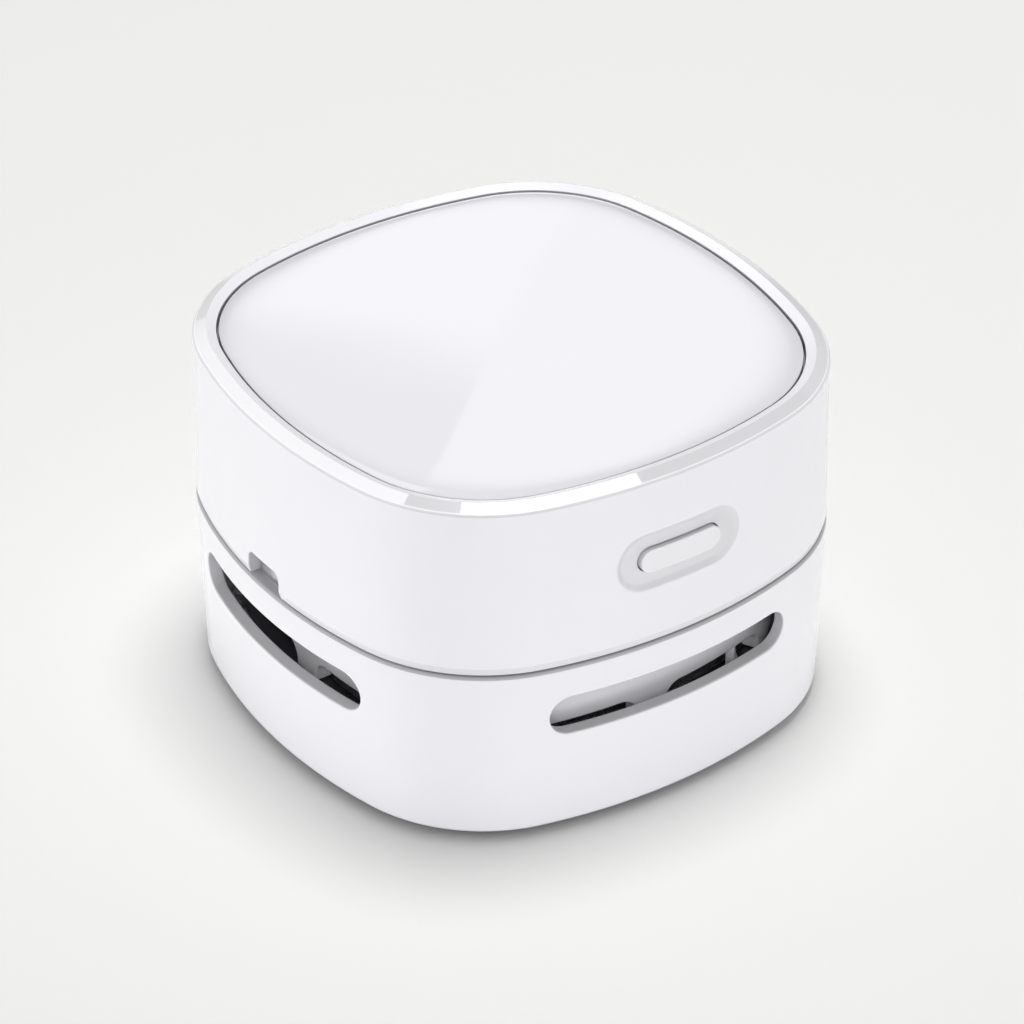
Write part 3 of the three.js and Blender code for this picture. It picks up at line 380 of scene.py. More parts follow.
@dataclass(frozen=True)
class Columns:
    """Where a wall's grid has its columns: at fixed distances across each side, and between them.

    Even columns are given by the length of wall from a side's middle, and go on round the corner.
    """

    across: np.ndarray
    turn: int = 0
    even_inset: float | None = None

    @classmethod
    def spaced(cls, half: int, pitch: float, turn: int) -> "Columns":
        """Columns a pitch apart to both sides of each middle, and a few more round each corner."""
        return cls(np.arange(-half, half + 1) * pitch, turn)

    @property
    def per_quarter(self) -> int:
        """Columns from the start of one side to the start of the next."""
        return len(self.across) + self.turn

    @property
    def extended(self) -> np.ndarray:
        """A side's columns, and for even ones the next side's first."""
        if self.even_inset is None:
            return self.across
        return np.append(self.across, self.across[0] + wall_table(self.even_inset)[1][-1] * 2 / 3)

    def angles(self, z: np.ndarray, inset: np.ndarray) -> np.ndarray:
        """Directions of the columns at each row.

        Args:
            z: height of each row.
            inset: inset of each row.

        Returns:
            Angles, rows by columns. The columns between two sides share the turn evenly.
        """
        side = self.facing(self.across[None, :], z[:, None], inset[:, None])
        share = np.arange(1, self.turn + 1) / (self.turn + 1)
        first, last = side[:, :1] + QUARTER, side[:, -1:]
        one = np.hstack([side, last + (first - last) * share])
        return np.hstack([one + q * QUARTER for q in range(4)])

    def ring(self, profile: np.ndarray) -> np.ndarray:
        """Points of a ring that follows the body, from its profile of insets and heights."""
        inset, z = profile[:, 0], profile[:, 1]
        return FORM.place(self.angles(z, inset), z[:, None], inset[:, None])

    def facing(self, across: Values, z: Values, inset: Values) -> np.ndarray:
        """Direction of a place on a side: by its straight distance, or by its length of wall."""
        across, z, inset = np.broadcast_arrays(across, z, inset)
        if self.even_inset is None:
            return FORM.facing(across, z, inset)
        angle, length = wall_table(self.even_inset)
        return np.interp(across, length, angle)


@dataclass
class Wall:
    """A ring wall that follows the body, between an outer and an inner skin.

    The two skins have the same rows, so that an opening joins one to the other. Each skin's inset is
    given at a few heights and read between them. Further rows close the wall at its top.
    """

    rows: np.ndarray
    columns: Columns
    outer: np.ndarray
    inner: np.ndarray
    top: np.ndarray = field(default_factory=lambda: np.zeros((0, 2)))
    openings: tuple[Opening, ...] = ()
    hub: float = 0.0

    def inset(self, z: np.ndarray, depth: np.ndarray | float) -> np.ndarray:
        """Inset at a height, from the outer skin at depth 0 to the inner skin at depth 1."""
        outer = np.interp(z, self.outer[:, 1], self.outer[:, 0])
        inner = np.interp(z, self.inner[:, 1], self.inner[:, 0])
        return outer + (inner - outer) * depth

    def profile(self) -> np.ndarray:
        """Inset and height of every row: up the outer skin, over the top, down the inner one."""
        outer = np.stack([self.inset(self.rows, 0), self.rows], axis=1)
        inner = np.stack([self.inset(self.rows, 1), self.rows], axis=1)
        return np.vstack([outer, self.top[:, :2], inner[::-1]])

    def surface(self) -> np.ndarray:
        """Points of the whole grid.

        A top row may carry a third number: its share of the way from the body's outline to the hub's
        circle, on which it ends at 1.
        """
        profile = self.profile()
        points = self.columns.ring(profile)
        if self.top.shape[1] == 3:
            share = np.zeros((len(profile), 1, 1))
            share[len(self.rows):len(self.rows) + len(self.top), 0, 0] = self.top[:, 2]
            circle = polar(self.hub, self.columns.angles(profile[:, 1], profile[:, 0]), points[..., 2])
            points = points * (1 - share) + circle * share
        return points

    def draw(self, sketch: Sketch, finish: np.ndarray | int = 0) -> None:
        """Draws the skins without the quads where openings go, and then the openings."""
        points = self.surface()
        rows, columns = points.shape[:2]
        keep = np.ones((rows, columns), bool)
        for opening in self.openings:
            first, last = self.column_range(opening)
            wrapped = np.arange(first, last) % columns
            low, high = self.row_range(opening)
            inner_first = len(self.rows) + len(self.top)
            inner_low = inner_first + len(self.rows) - 1 - high
            inner_high = inner_first + len(self.rows) - 1 - low
            keep[low:high, wrapped] = False
            keep[inner_low:inner_high, wrapped] = False
            if opening.open_foot:
                keep[inner_high:, wrapped] = False
        sketch.grid(points, wrap_rows=True, wrap_columns=True, keep=keep, finish=finish)
        for opening in self.openings:
            self.draw_opening(sketch, opening)

    def column_range(self, opening: Opening) -> tuple[int, int]:
        """First and last column of an opening's rectangle."""
        found = [int(np.argmin(np.abs(self.columns.extended - edge))) for edge in opening.across]
        start = opening.quarter * self.columns.per_quarter
        return start + found[0], start + found[1]

    def row_range(self, opening: Opening) -> tuple[int, int]:
        """First and last row of an opening's rectangle."""
        low, high = (int(np.argmin(np.abs(self.rows - edge))) for edge in opening.heights)
        return low, high

    def draw_opening(self, sketch: Sketch, opening: Opening) -> None:
        """Draws an opening as rings from its rectangle on the outer skin to that on the inner skin.

        Each point of the rectangle is joined to the nearest point of the core. Where that line leaves
        the core by a stage's radius, the stage's contour has its point.
        """
        border = self.border(opening)
        core = np.stack([
            np.clip(border[:, 0], *opening.core_across), np.clip(border[:, 1], *opening.core_heights)
        ], axis=1)
        away = border - core
        away /= np.linalg.norm(away, axis=1, keepdims=True)
        middle = sum(opening.core_across) / 2
        contours = [
            np.stack([middle + (core[:, 0] - middle) * stage.reach, core[:, 1]], axis=1) + away * stage.radius
            for stage in opening.stages
        ]
        approach = (0.0, 0.3, 0.6, 0.82)
        front = [border + (contours[0] - border) * share for share in approach]
        back = [border + (contours[-1] - border) * share for share in approach[::-1]]
        depths = [0.0] * 4 + [stage.depth for stage in opening.stages] + [1.0] * 4
        across, z = np.moveaxis(np.array(front + contours + back), -1, 0)
        inset = self.inset(z, np.array(depths)[:, None])
        angle = self.columns.facing(across, z, inset) + opening.quarter * QUARTER
        points = FORM.place(angle, z, inset)
        numbers = [0] * 4 + [stage.finish for stage in opening.stages] + [0] * 3
        sketch.grid(points, wrap_columns=not opening.open_foot, finish=np.array(numbers))
        if opening.open_foot:
            half = (len(points) + 1) // 2
            for end in (0, -1):
                foot = points[:, end]
                sketch.grid(np.stack([foot[:half], foot[::-1][:half]]))

    def border(self, opening: Opening) -> np.ndarray:
        """Points along an opening's rectangle: distance across and height."""
        across = self.columns.extended
        across = across[(across > opening.across[0] - 0.01) & (across < opening.across[1] + 0.01)]
        low, high = self.row_range(opening)
        z = self.rows[low:high + 1]
        left = np.stack([np.full(len(z), across[0]), z], axis=1)
        top = np.stack([across, np.full(len(across), z[-1])], axis=1)
        right = np.stack([np.full(len(z), across[-1]), z[::-1]], axis=1)
        foot = np.stack([across[::-1], np.full(len(across), z[0])], axis=1)
        sides = [left, top[1:], right[1:]] + ([] if opening.open_foot else [foot[1:-1]])
        return np.vstack(sides)


def rolled_edge(radius: float, rounding: float, wall: float, steps: int = 4) -> list[Stage]:
    """Stages of an edge that rolls from the outer skin into an opening as a quarter circle.

    Args:
        radius: the opening's own radius round its core.
        rounding: radius of the roll.
        wall: thickness of the wall, which a depth of 1 stands for.
        steps: faces round the roll.

    Returns:
        Stages from the outer skin inwards, with one just outside and one just inside the roll.
    """
    turn = np.linspace(0, QUARTER, steps + 1)
    stages = [Stage(radius + 1.5 * rounding, 0.0)]
    stages += [
        Stage(radius + rounding * (1 - math.sin(a)), rounding * (1 - math.cos(a)) / wall) for a in turn
    ]
    return stages + [Stage(radius, 1.6 * rounding / wall)]


def through_hole(
    radius: float, outer: float, inner: float, wall: float, inside_shade: int = 0
) -> tuple[Stage, ...]:
    """Stages of a plain opening whose edges are both rolled, with a finish for what lies inside them that
    paints shade there unless it is 0.
    """
    front = rolled_edge(radius, outer, wall)
    back = [Stage(stage.radius, 1 - stage.depth) for stage in reversed(rolled_edge(radius, inner, wall, 3))]
    shaded_stages = [replace(stage, finish=inside_shade) for stage in front[3:] + back]
    return tuple(front[:3] + shaded_stages)


def quarter_round(inset: float, z: float, radius: float, steps: int, upwards: bool) -> np.ndarray:
    """Inset and height along an outer edge that is rounded at the foot or at the top of a skin.

    Args:
        inset: the skin's inset away from the edge.
        z: height of the edge.
        radius: radius of the rounding.
        steps: faces round it.
        upwards: True where the skin starts at the edge and rises, False where it ends there.

    Returns:
        Rows from the lowest to the highest.
    """
    turn = np.linspace(0, QUARTER, steps + 1)
    inwards = inset + radius * (1 - np.sin(turn))
    rise = radius * (1 - np.cos(turn))
    rows = np.stack([inwards, z + rise if upwards else z - rise], axis=1)
    return rows if upwards else rows[::-1]


# Finishes


class Pattern(Enum):
    """What a surface shows close up."""

    POLISH = "long soft waves of a polished mould"
    GRAIN = "fine pits of an eroded mould"
    BRUSH = "fine lines along one way"
    TURNING = "fine rings round the axis"
    WEAVE = "threads over and under each other"
    LAYERS = "stack of thin sheets"
    TRACKS = "copper tracks under a solder mask"
    FIBRE = "streaks along each strand"


@dataclass(frozen=True)
class Finish:
    """One finish: its colour, its gloss and the pattern that it shows close up."""

    name: str
    slot: str
    color: tuple[float, float, float]
    roughness: float
    pattern: Pattern = Pattern.GRAIN
    pitch: float = 0.4
    relief: float = 0.004
    variation: float = 0.03
    metallic: float = 0.0
    coat: float = 0.0
    coat_roughness: float = 0.05
    ior: float = 1.5
    second: tuple[float, float, float] | None = None
    sheen: float = 0.0

    def material(self) -> bpy.types.Material:
        """The finish as a material, made once and then used again."""
        found = bpy.data.materials.get(self.name)
        return found if found else ShaderDesk(self).build()


class ShaderDesk:
    """Builds a finish's nodes."""

    def __init__(self, finish: Finish) -> None:
        """Starts a material with nothing but its shader and its output."""
        self.finish = finish
        self.material = bpy.data.materials.new(finish.name)
        self.material.use_nodes = True
        self.tree = self.material.node_tree
        self.shader = self.tree.nodes["Principled BSDF"]
        self.coordinates = self.add("ShaderNodeTexCoord", {}).outputs["Object"]

    def wire(self, node: bpy.types.Node, inputs: dict[str | int, object]) -> None:
        """Gives named sockets of a node a number, a colour or another node's output."""
        for name, value in inputs.items():
            if isinstance(value, bpy.types.NodeSocket):
                self.tree.links.new(value, node.inputs[name])
            else:
                node.inputs[name].default_value = value

    def add(self, kind: str, inputs: dict[str | int, object], **settings: object) -> bpy.types.Node:
        """Adds a node with its own properties and what its sockets get."""
        node = self.tree.nodes.new(kind)
        for name, value in settings.items():
            setattr(node, name, value)
        self.wire(node, inputs)
        return node

    def noise(
        self, pitch: float, detail: float = 2.0, stretch: tuple[float, float, float] | None = None
    ) -> bpy.types.NodeSocket:
        """Soft noise, its waves a pitch apart in millimetres. A stretch scales each axis by itself."""
        where = self.coordinates
        if stretch:
            where = self.add("ShaderNodeMapping", {"Vector": where, "Scale": stretch}).outputs["Vector"]
        inputs = {"Vector": where, "Scale": 1 / (pitch * MM), "Detail": detail}
        return self.add("ShaderNodeTexNoise", inputs).outputs["Fac"]

    def cells(self, randomness: float = 1.0, **settings: str) -> bpy.types.NodeSocket:
        """Distance to the nearest of points that lie about the finish's pitch apart."""
        inputs = {"Vector": self.coordinates, "Scale": 1 / (self.finish.pitch * MM), "Randomness": randomness}
        return self.add("ShaderNodeTexVoronoi", inputs, **settings).outputs["Distance"]

    def waves(self, distortion: float = 0.0, **settings: str) -> bpy.types.NodeSocket:
        """Bands or rings, the finish's pitch apart. At a scale of 1 they are 2 pi / 20 apart."""
        scale = QUARTER / 5 / (self.finish.pitch * MM)
        inputs = {"Vector": self.coordinates, "Scale": scale, "Distortion": distortion}
        return self.add("ShaderNodeTexWave", inputs, **settings).outputs["Fac"]

    def ranged(self, value: object, low: float, high: float, start: float = 0.3, end: float = 0.7) -> object:
        """A value taken from the range between start and end to the one between low and high."""
        inputs = {"Value": value, "From Min": start, "From Max": end, "To Min": low, "To Max": high}
        return self.add("ShaderNodeMapRange", inputs).outputs["Result"]

    def pattern_height(self) -> bpy.types.NodeSocket:
        """Height of the finish's pattern."""
        pitch = self.finish.pitch
        match self.finish.pattern:
            case Pattern.GRAIN:
                return self.cells(feature="SMOOTH_F1")
            case Pattern.BRUSH:
                return self.noise(pitch, 3.0, (1.0, 1.0, 0.03))
            case Pattern.TURNING:
                return self.waves(0.4, wave_type="RINGS", rings_direction="Z")
            case Pattern.WEAVE:
                threads = {i: self.waves(bands_direction=way) for i, way in enumerate("XY")}
                return self.add("ShaderNodeMath", threads, operation="MULTIPLY").outputs["Value"]
            case Pattern.LAYERS:
                return self.waves(0.3, bands_direction="Z")
            case Pattern.TRACKS:
                return self.ranged(self.cells(0.35, feature="F1", distance="CHEBYCHEV"), 0.0, 1.0, 0.36, 0.42)
            case Pattern.FIBRE:
                return self.noise(pitch, 2.0, (1.0, 1.0, 0.08))
        return self.noise(pitch, 1.0)

    def build(self) -> bpy.types.Material:
        """Wires colour, gloss and relief to the shader and sets what is the same all over."""
        finish = self.finish
        height = self.pattern_height()
        drift = self.noise(18.0)
        base = Vector(finish.color)
        other = Vector(finish.second) if finish.second else base * (1 - finish.variation)
        mixed_by = height if finish.second else self.ranged(drift, 0.0, 1.0)
        mix = self.add("ShaderNodeMix", {"A": (*base, 1.0), "B": (*other, 1.0)}, data_type="RGBA")
        self.wire(mix, {"Factor": mixed_by})
        spread = 0.12 * finish.roughness
        gloss = self.ranged(drift, finish.roughness - spread, finish.roughness + spread)
        relief = {"Height": height, "Strength": 1.0, "Distance": finish.relief * MM}
        self.wire(self.shader, {
            "Base Color": mix.outputs["Result"], "Roughness": gloss,
            "Normal": self.add("ShaderNodeBump", relief).outputs["Normal"],
            "Metallic": finish.metallic, "IOR": finish.ior, "Coat Weight": finish.coat,
            "Coat Roughness": finish.coat_roughness, "Sheen Weight": finish.sheen,
        })
        return self.material


GLOSS_WHITE = Finish("moulded_gloss_white", "shell_white", (0.865, 0.858, 0.895), 0.16, Pattern.POLISH,
                     pitch=9.0, relief=0.004, variation=0.012, coat=0.5, coat_roughness=0.04)
BRIGHT_EDGE = Finish("polished_bright_edge", "shell_white", (0.88, 0.88, 0.9), 0.03, Pattern.POLISH,
                     pitch=9.0, relief=0.0005, variation=0.012, metallic=0.4)
# The panel's white is its own, set darker than the casing's to offset the stronger light on the top: painted
# shade.
PANEL_WHITE_PAINTED_SHADE = Finish("panel_gloss_white_painted_shade", "panel_white", (0.805, 0.798, 0.835), 0.04, Pattern.POLISH,
                     pitch=14.0, relief=0.001, variation=0.01, coat=0.8, coat_roughness=0.015, ior=1.7)
BUTTON_WHITE = Finish("button_gloss_white", "button_white", (0.84, 0.835, 0.865), 0.2, Pattern.POLISH,
                      pitch=5.0, relief=0.002, variation=0.01, coat=0.4)
# A darker white for the button's dish and hole: painted shade of the recess.
DISH_PAINTED_SHADE = Finish("dish_painted_shade", "shell_white", (0.745, 0.74, 0.77), 0.35, pitch=0.3, relief=0.001)
# A slightly darker white for the skirt under the casing's wall: painted shade.
SKIRT_PAINTED_SHADE = Finish("skirt_painted_shade", "shell_white", (0.775, 0.77, 0.8), 0.3, pitch=0.3, relief=0.001)
# A pale grey for the insides of the slots, which paints their shade, and for the rounding below the chamfer,
# which paints a dark reflected line.
PALE_PAINTED_SHADE = Finish("pale_painted_shade", "shell_white", (0.66, 0.66, 0.68), 0.4, pitch=0.3, relief=0.001)
# A mid grey for the lip at the parting line, the casing's foot and the finger notch's inside: painted shade.
MID_PAINTED_SHADE = Finish("mid_painted_shade", "shell_white", (0.5, 0.5, 0.52), 0.5, pitch=0.3, relief=0.001)
# A grey for the walls of the gap round the top panel: painted shade.
GAP_PAINTED_SHADE = Finish("gap_painted_shade", "shell_white", (0.5, 0.5, 0.52), 0.6, pitch=0.3)
# A grey for the button's side, flange and stem: painted shade.
BUTTON_SIDE_PAINTED_SHADE = Finish("button_side_painted_shade", "button_white", (0.62, 0.62, 0.64), 0.4, pitch=0.3)
# A paler white for the housing's collar behind the finger notch: painted light.
COLLAR_PAINTED_LIGHT = replace(GLOSS_WHITE, name="collar_painted_light", color=(0.92, 0.92, 0.94))
HOUSING_GREY = Finish("moulded_satin_grey", "housing_grey", (0.76, 0.76, 0.78), 0.42, pitch=0.35)
CHASSIS_GREY = Finish("chassis_satin_grey", "chassis_grey", (0.62, 0.62, 0.64), 0.5, pitch=0.45)
BASE_WHITE = Finish("base_satin_white", "base_white", (0.8, 0.8, 0.81), 0.38, pitch=0.3)
FRAME_DARK = Finish("filter_frame_satin", "filter_frame_dark", (0.09, 0.09, 0.1), 0.45, pitch=0.3)
CLOTH = Finish("filter_woven_cloth", "filter_cloth", (0.2, 0.2, 0.21), 0.95, Pattern.WEAVE, pitch=0.55,
               relief=0.12, second=(0.09, 0.09, 0.1), sheen=0.3)
BRISTLE = Finish("nylon_bristle", "bristle_black", (0.05, 0.05, 0.055), 0.4, Pattern.FIBRE, pitch=0.2,
                 relief=0.01, second=(0.022, 0.022, 0.026))
GLIDE = Finish("glide_plastic", "glide_white", (0.8, 0.8, 0.78), 0.3, pitch=0.5)
SEAL = Finish("soft_rubber", "seal_grey", (0.3, 0.3, 0.31), 0.7, pitch=0.25, relief=0.01)
SCREW_STEEL = Finish("zinc_plated_screw", "screw_steel", (0.6, 0.6, 0.62), 0.3, Pattern.TURNING, pitch=0.12,
                     relief=0.003, metallic=1.0)
DRAWN_STEEL = Finish("drawn_steel", "motor_steel", (0.62, 0.63, 0.65), 0.32, Pattern.BRUSH, pitch=0.5,
                     relief=0.005, metallic=1.0)
GROUND_STEEL = Finish("ground_steel", "shaft_steel", (0.7, 0.71, 0.73), 0.15, Pattern.LAYERS, pitch=0.1,
                      relief=0.001, metallic=1.0)
CAP_BLACK = Finish("end_cap_black", "end_cap_black", (0.04, 0.04, 0.045), 0.4, pitch=0.3)
BRASS = Finish("tinned_brass", "terminal_brass", (0.7, 0.52, 0.22), 0.3, Pattern.BRUSH, pitch=0.2,
               metallic=1.0)
FERRITE = Finish("sintered_ferrite", "magnet_ferrite", (0.12, 0.12, 0.125), 0.75, pitch=0.15, relief=0.01)
WINDING = Finish("enamelled_winding", "armature_copper", (0.6, 0.26, 0.12), 0.3, Pattern.LAYERS, pitch=0.25,
                 relief=0.06, metallic=1.0, second=(0.35, 0.14, 0.07))
COMMUTATOR = Finish("turned_copper", "commutator_copper", (0.65, 0.32, 0.16), 0.25, Pattern.TURNING,
                    pitch=0.1, metallic=1.0)
FAN_DARK = Finish("fan_satin_dark", "fan_dark", (0.15, 0.15, 0.155), 0.4, pitch=0.4)
CELL_WRAP = Finish("shrink_wrap_blue", "cell_wrap", (0.06, 0.2, 0.5), 0.3, Pattern.POLISH, pitch=4.0,
                   relief=0.03, coat=0.3)
BOARD = Finish("solder_mask_green", "board_green", (0.02, 0.16, 0.07), 0.3, Pattern.TRACKS, pitch=2.2,
               relief=0.03, second=(0.04, 0.26, 0.11))
SWITCH_BLACK = Finish("switch_black", "switch_black", (0.04, 0.04, 0.045), 0.45, pitch=0.3)
PLUNGER = Finish("plunger_dark", "plunger_dark", (0.1, 0.1, 0.11), 0.4, pitch=0.3)
PORT_STEEL = Finish("nickel_plated_sleeve", "port_steel", (0.7, 0.7, 0.72), 0.2, Pattern.BRUSH, pitch=0.4,
                    relief=0.002, metallic=1.0)
CONTACT_GOLD = Finish("contact_gold", "port_steel", (0.8, 0.6, 0.25), 0.25, Pattern.BRUSH, pitch=0.2,
                      relief=0.001, metallic=1.0)
WIRE_RED = Finish("insulation_red", "wire_red", (0.5, 0.03, 0.02), 0.4, pitch=0.4)
WIRE_BLACK = Finish("insulation_black", "wire_black", (0.02, 0.02, 0.022), 0.4, pitch=0.4)


class Dresser:
    """Puts finished pieces into the scene, on the body that carries them."""

    @staticmethod
    def piece(
        name: str, shape: Sketch | bpy.types.Mesh, body: str, stands_for: str, *finishes: Finish
    ) -> bpy.types.Object:
        """Adds a piece.

        Args:
            name: the piece's name.
            shape: its sketch, or its mesh in metres and in place.
            body: the moving body that carries it.
            stands_for: CAD node that it is shown instead of.
            finishes: its finishes, in the order of the mesh's material numbers.

        Returns:
            The piece.
        """
        mesh = shape.mesh(name) if isinstance(shape, Sketch) else shape
        piece = placed(name, mesh)
        for finish in finishes:
            mesh.materials.append(finish.material())
        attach(piece, body)
        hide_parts(stands_for)
        log.info("%s on %s: %d faces", name, body, len(mesh.polygons))
        return piece

    @staticmethod
    def node(name: str, finish: Finish) -> None:
        """Gives a CAD node that stays its finish."""
        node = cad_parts[name]
        node.data.materials.clear()
        node.data.materials.append(finish.material())
        log.info("%s keeps its form: %s", name, finish.name)


# Casings


CASING_COLUMNS = Columns.spaced(24, 0.9, 26)


@dataclass
class LowerShell:
    """The dust box's casing, with a capsule slot in each side."""

    wall: float = 2.0
    foot_round: float = 0.8
    lip_round: float = 0.5
    lip_height: float = 0.5
    inner_round: float = 0.2
    slot_length: float = 38.3
    slot_height: float = 6.0
    slot_centre: float = 17.95
    slot_edge: float = 0.3
    slot_margin: float = 2.4
    row_rises: tuple[float, ...] = (1.1, 2.5, 4.2, 6.2, 8.2, 10.2, 11.6)
    row_drops: tuple[float, ...] = (1.6, 0.8)

    def openings(self, low: float, high: float, half: float) -> tuple[Opening, ...]:
        """The four slots, each within a rectangle of the wall."""
        radius = self.slot_height / 2
        reach = self.slot_length / 2 - radius
        centre = (low + high) / 2
        # Inside the slots, the stages take finish 2, a pale grey that paints their shade.
        stages = through_hole(radius, self.slot_edge, self.inner_round, self.wall, inside_shade=2)
        return tuple(
            Opening(q, (-half, half), (low, high), (-reach, reach), (centre, centre), stages)
            for q in range(4)
        )

    def skins(self) -> tuple[np.ndarray, np.ndarray]:
        """Outer and inner skin: inset and height along each."""
        outer = np.vstack([
            quarter_round(0, FORM.foot, self.foot_round, 6, True),
            quarter_round(0, FORM.split, self.lip_round, 5, False),
        ])
        turn = np.linspace(0, QUARTER, 4)
        back = self.wall - self.inner_round * (1 - np.sin(turn))
        rise = self.inner_round * (1 - np.cos(turn))
        inner = np.vstack([
            np.stack([back, FORM.foot + rise], axis=1),
            np.stack([back, FORM.split - rise], axis=1)[::-1],
        ])
        return outer, inner

    def build(self) -> None:
        """Draws the casing and puts it in place."""
        outer, inner = self.skins()
        reach = self.slot_height / 2 + self.slot_margin
        slot_rows = FORM.foot + self.slot_centre + np.linspace(-reach, reach, 19)
        rows = np.unique(np.round(np.concatenate([
            outer[:, 1], inner[:, 1], FORM.foot + np.array(self.row_rises), slot_rows,
            FORM.split - np.array(self.row_drops),
        ]), 5))
        openings = self.openings(slot_rows[0], slot_rows[-1], CASING_COLUMNS.across[-1])
        wall = Wall(rows, CASING_COLUMNS, outer, inner, openings=openings)
        inset, z = wall.profile().T
        # The lip at the parting line takes a mid grey that paints the shade of the gap.
        on_lip = (z > FORM.split - self.lip_height) & (inset < self.lip_round + 0.1)
        sketch = Sketch()
        wall.draw(sketch, finish=on_lip.astype(int))
        Dresser.piece("dust_box_casing", sketch, "dust_box", "lower_shell",
                      GLOSS_WHITE, MID_PAINTED_SHADE, PALE_PAINTED_SHADE)


@dataclass
class UpperShell:
    """The motor unit's casing: button dish, finger notch, charging opening and chamfered rim."""

    wall: float = 2.0
    foot_drop: float = 0.18
    skirt_height: float = 1.18
    skirt_inset: float = 0.3
    foot_round: float = 0.15
    chamfer_width: float = 1.9
    chamfer_drop: float = 0.95
    rim_round: float = 0.45
    ridge_round: float = 0.12
    land_width: float = 1.35
    land_drop: float = 0.53
    land_round: float = 0.12
    shelf_depth: float = 2.3
    shelf_width: float = 2.3
    shelf_thickness: float = 1.4
    shelf_support: float = 3.0
    button_rise: float = 13.0
    dish_shift: float = -0.2
    dish_length: float = 20.2
    dish_height: float = 9.2
    dish_depth: float = 0.5
    dish_slope: float = 1.25
    hole_length: float = 13.1
    hole_height: float = 3.75
    notch_width: float = 7.4
    notch_height: float = 3.73
    notch_round: float = 1.2
    port_rise: float = 8.6
    port_length: float = 9.6
    port_height: float = 3.8
    first_row: float = 28.7
    row_pitch: float = 0.6
    dish_rectangle: tuple[float, float] = (12.6, 6.0)
    notch_rectangle: tuple[float, float] = (5.4, 1.8)
    port_rectangle: tuple[float, float] = (7.2, 3.6)

    @property
    def foot(self) -> float:
        """Height of the casing's lower edge."""
        return foot_of("upper_shell") - self.foot_drop

    def dish(self) -> Opening:
        """The button's dish and hole.

        The dish's side runs from the wall to its floor as half a cosine wave, so both of its edges are
        soft. The floor then rolls into the hole.
        """
        centre = FORM.split + self.button_rise
        dish_radius, hole_radius = self.dish_height / 2, self.hole_height / 2
        reach = self.dish_length / 2 - dish_radius
        hole_reach = (self.hole_length / 2 - hole_radius) / reach
        share = np.linspace(0, 1, 10)
        drop = (1 - np.cos(math.pi * share)) / 2
        floor = self.dish_depth / self.wall
        # Past its upper edge, the dish's side, its floor and the hole take finish 2, a darker white that
        # paints the shade in the recess.
        slope = [
            Stage(dish_radius - self.dish_slope * float(s), floor * float(d), finish=2 if s > 0.15 else 0)
            for s, d in zip(share, drop)
        ]
        bed = [Stage(dish_radius - self.dish_slope - 0.4, floor, 0.5 + hole_reach / 2, 2)]
        hole = [
            Stage(stage.radius, floor + (1 - floor) * stage.depth, hole_reach, 2)
            for stage in through_hole(hole_radius, 0.12, 0.2, self.wall - self.dish_depth)
        ]
        half, rise = self.dish_rectangle
        across = (self.dish_shift - reach, self.dish_shift + reach)
        return Opening(3, (-half, half), (centre - rise, centre + rise), across, (centre, centre),
                       tuple(slope + bed + hole))

    def notch(self) -> Opening:
        """Arch for a fingertip in the lower edge of the left side."""
        reach = self.notch_width / 2 - self.notch_round
        top = self.foot + self.notch_height
        # The notch's inside takes finish 4, a mid grey that paints its shade.
        stages = through_hole(self.notch_round, 0.2, 0.2, self.wall, inside_shade=4)
        half, rise = self.notch_rectangle
        return Opening(2, (-half, half), (self.foot, top + rise), (-reach, reach),
                       (self.foot - 1, top - self.notch_round), stages, open_foot=True)

    def port(self) -> Opening:
        """Capsule opening for the charging plug in the rear side."""
        centre = FORM.split + self.port_rise
        radius = self.port_height / 2
        reach = self.port_length / 2 - radius
        half, rise = self.port_rectangle
        return Opening(1, (-half, half), (centre - rise, centre + rise), (-reach, reach), (centre, centre),
                       through_hole(radius, 0.3, 0.2, self.wall))

    def rim(self) -> np.ndarray:
        """Rows up the chamfer, down the inward slope, over the panel's shelf and to the inner skin."""
        recess = self.chamfer_width + self.land_width
        shelf = FORM.rim - self.shelf_depth
        lower = shelf - self.shelf_thickness
        edge = FORM.rim - self.chamfer_drop
        return softened([
            (0, edge - 2.5, 0), (0, edge, self.rim_round), (self.chamfer_width, FORM.rim, self.ridge_round),
            (recess, FORM.rim - self.land_drop, self.land_round), (recess, shelf, 0.15),
            (recess + self.shelf_width, shelf, 0.2), (recess + self.shelf_width, lower, 0.2),
            (self.wall, lower - self.shelf_support, 0.3), (self.wall, lower - self.shelf_support - 0.3, 0),
        ])

    def finishes(self, inset: np.ndarray, z: np.ndarray) -> np.ndarray:
        """Number of the finish of each row, from its inset and its height."""
        edge = FORM.rim - self.chamfer_drop
        recess = self.chamfer_width + self.land_width
        on_chamfer = (z > edge + 0.12) & (inset > 0.25) & (inset < self.chamfer_width - 0.02)
        # The gap round the panel takes a grey that paints its shade.
        in_gap = (inset > recess - 0.03) & (z < FORM.rim - self.land_drop - 0.08)
        # The lowest row takes a mid grey that paints the shade of the parting gap.
        at_foot = z < self.foot + 0.05
        # The skirt takes a darker white that paints its shade.
        on_skirt = z < self.foot + self.skirt_height - 0.02
        # The rounding below the chamfer takes a pale grey that paints a dark reflected line: painted
        # reflection.
        on_edge = (z > edge - 0.22) & (inset < 0.16)
        return np.select([on_chamfer, in_gap, at_foot, on_skirt, on_edge], [1, 3, 4, 5, 6], 0)

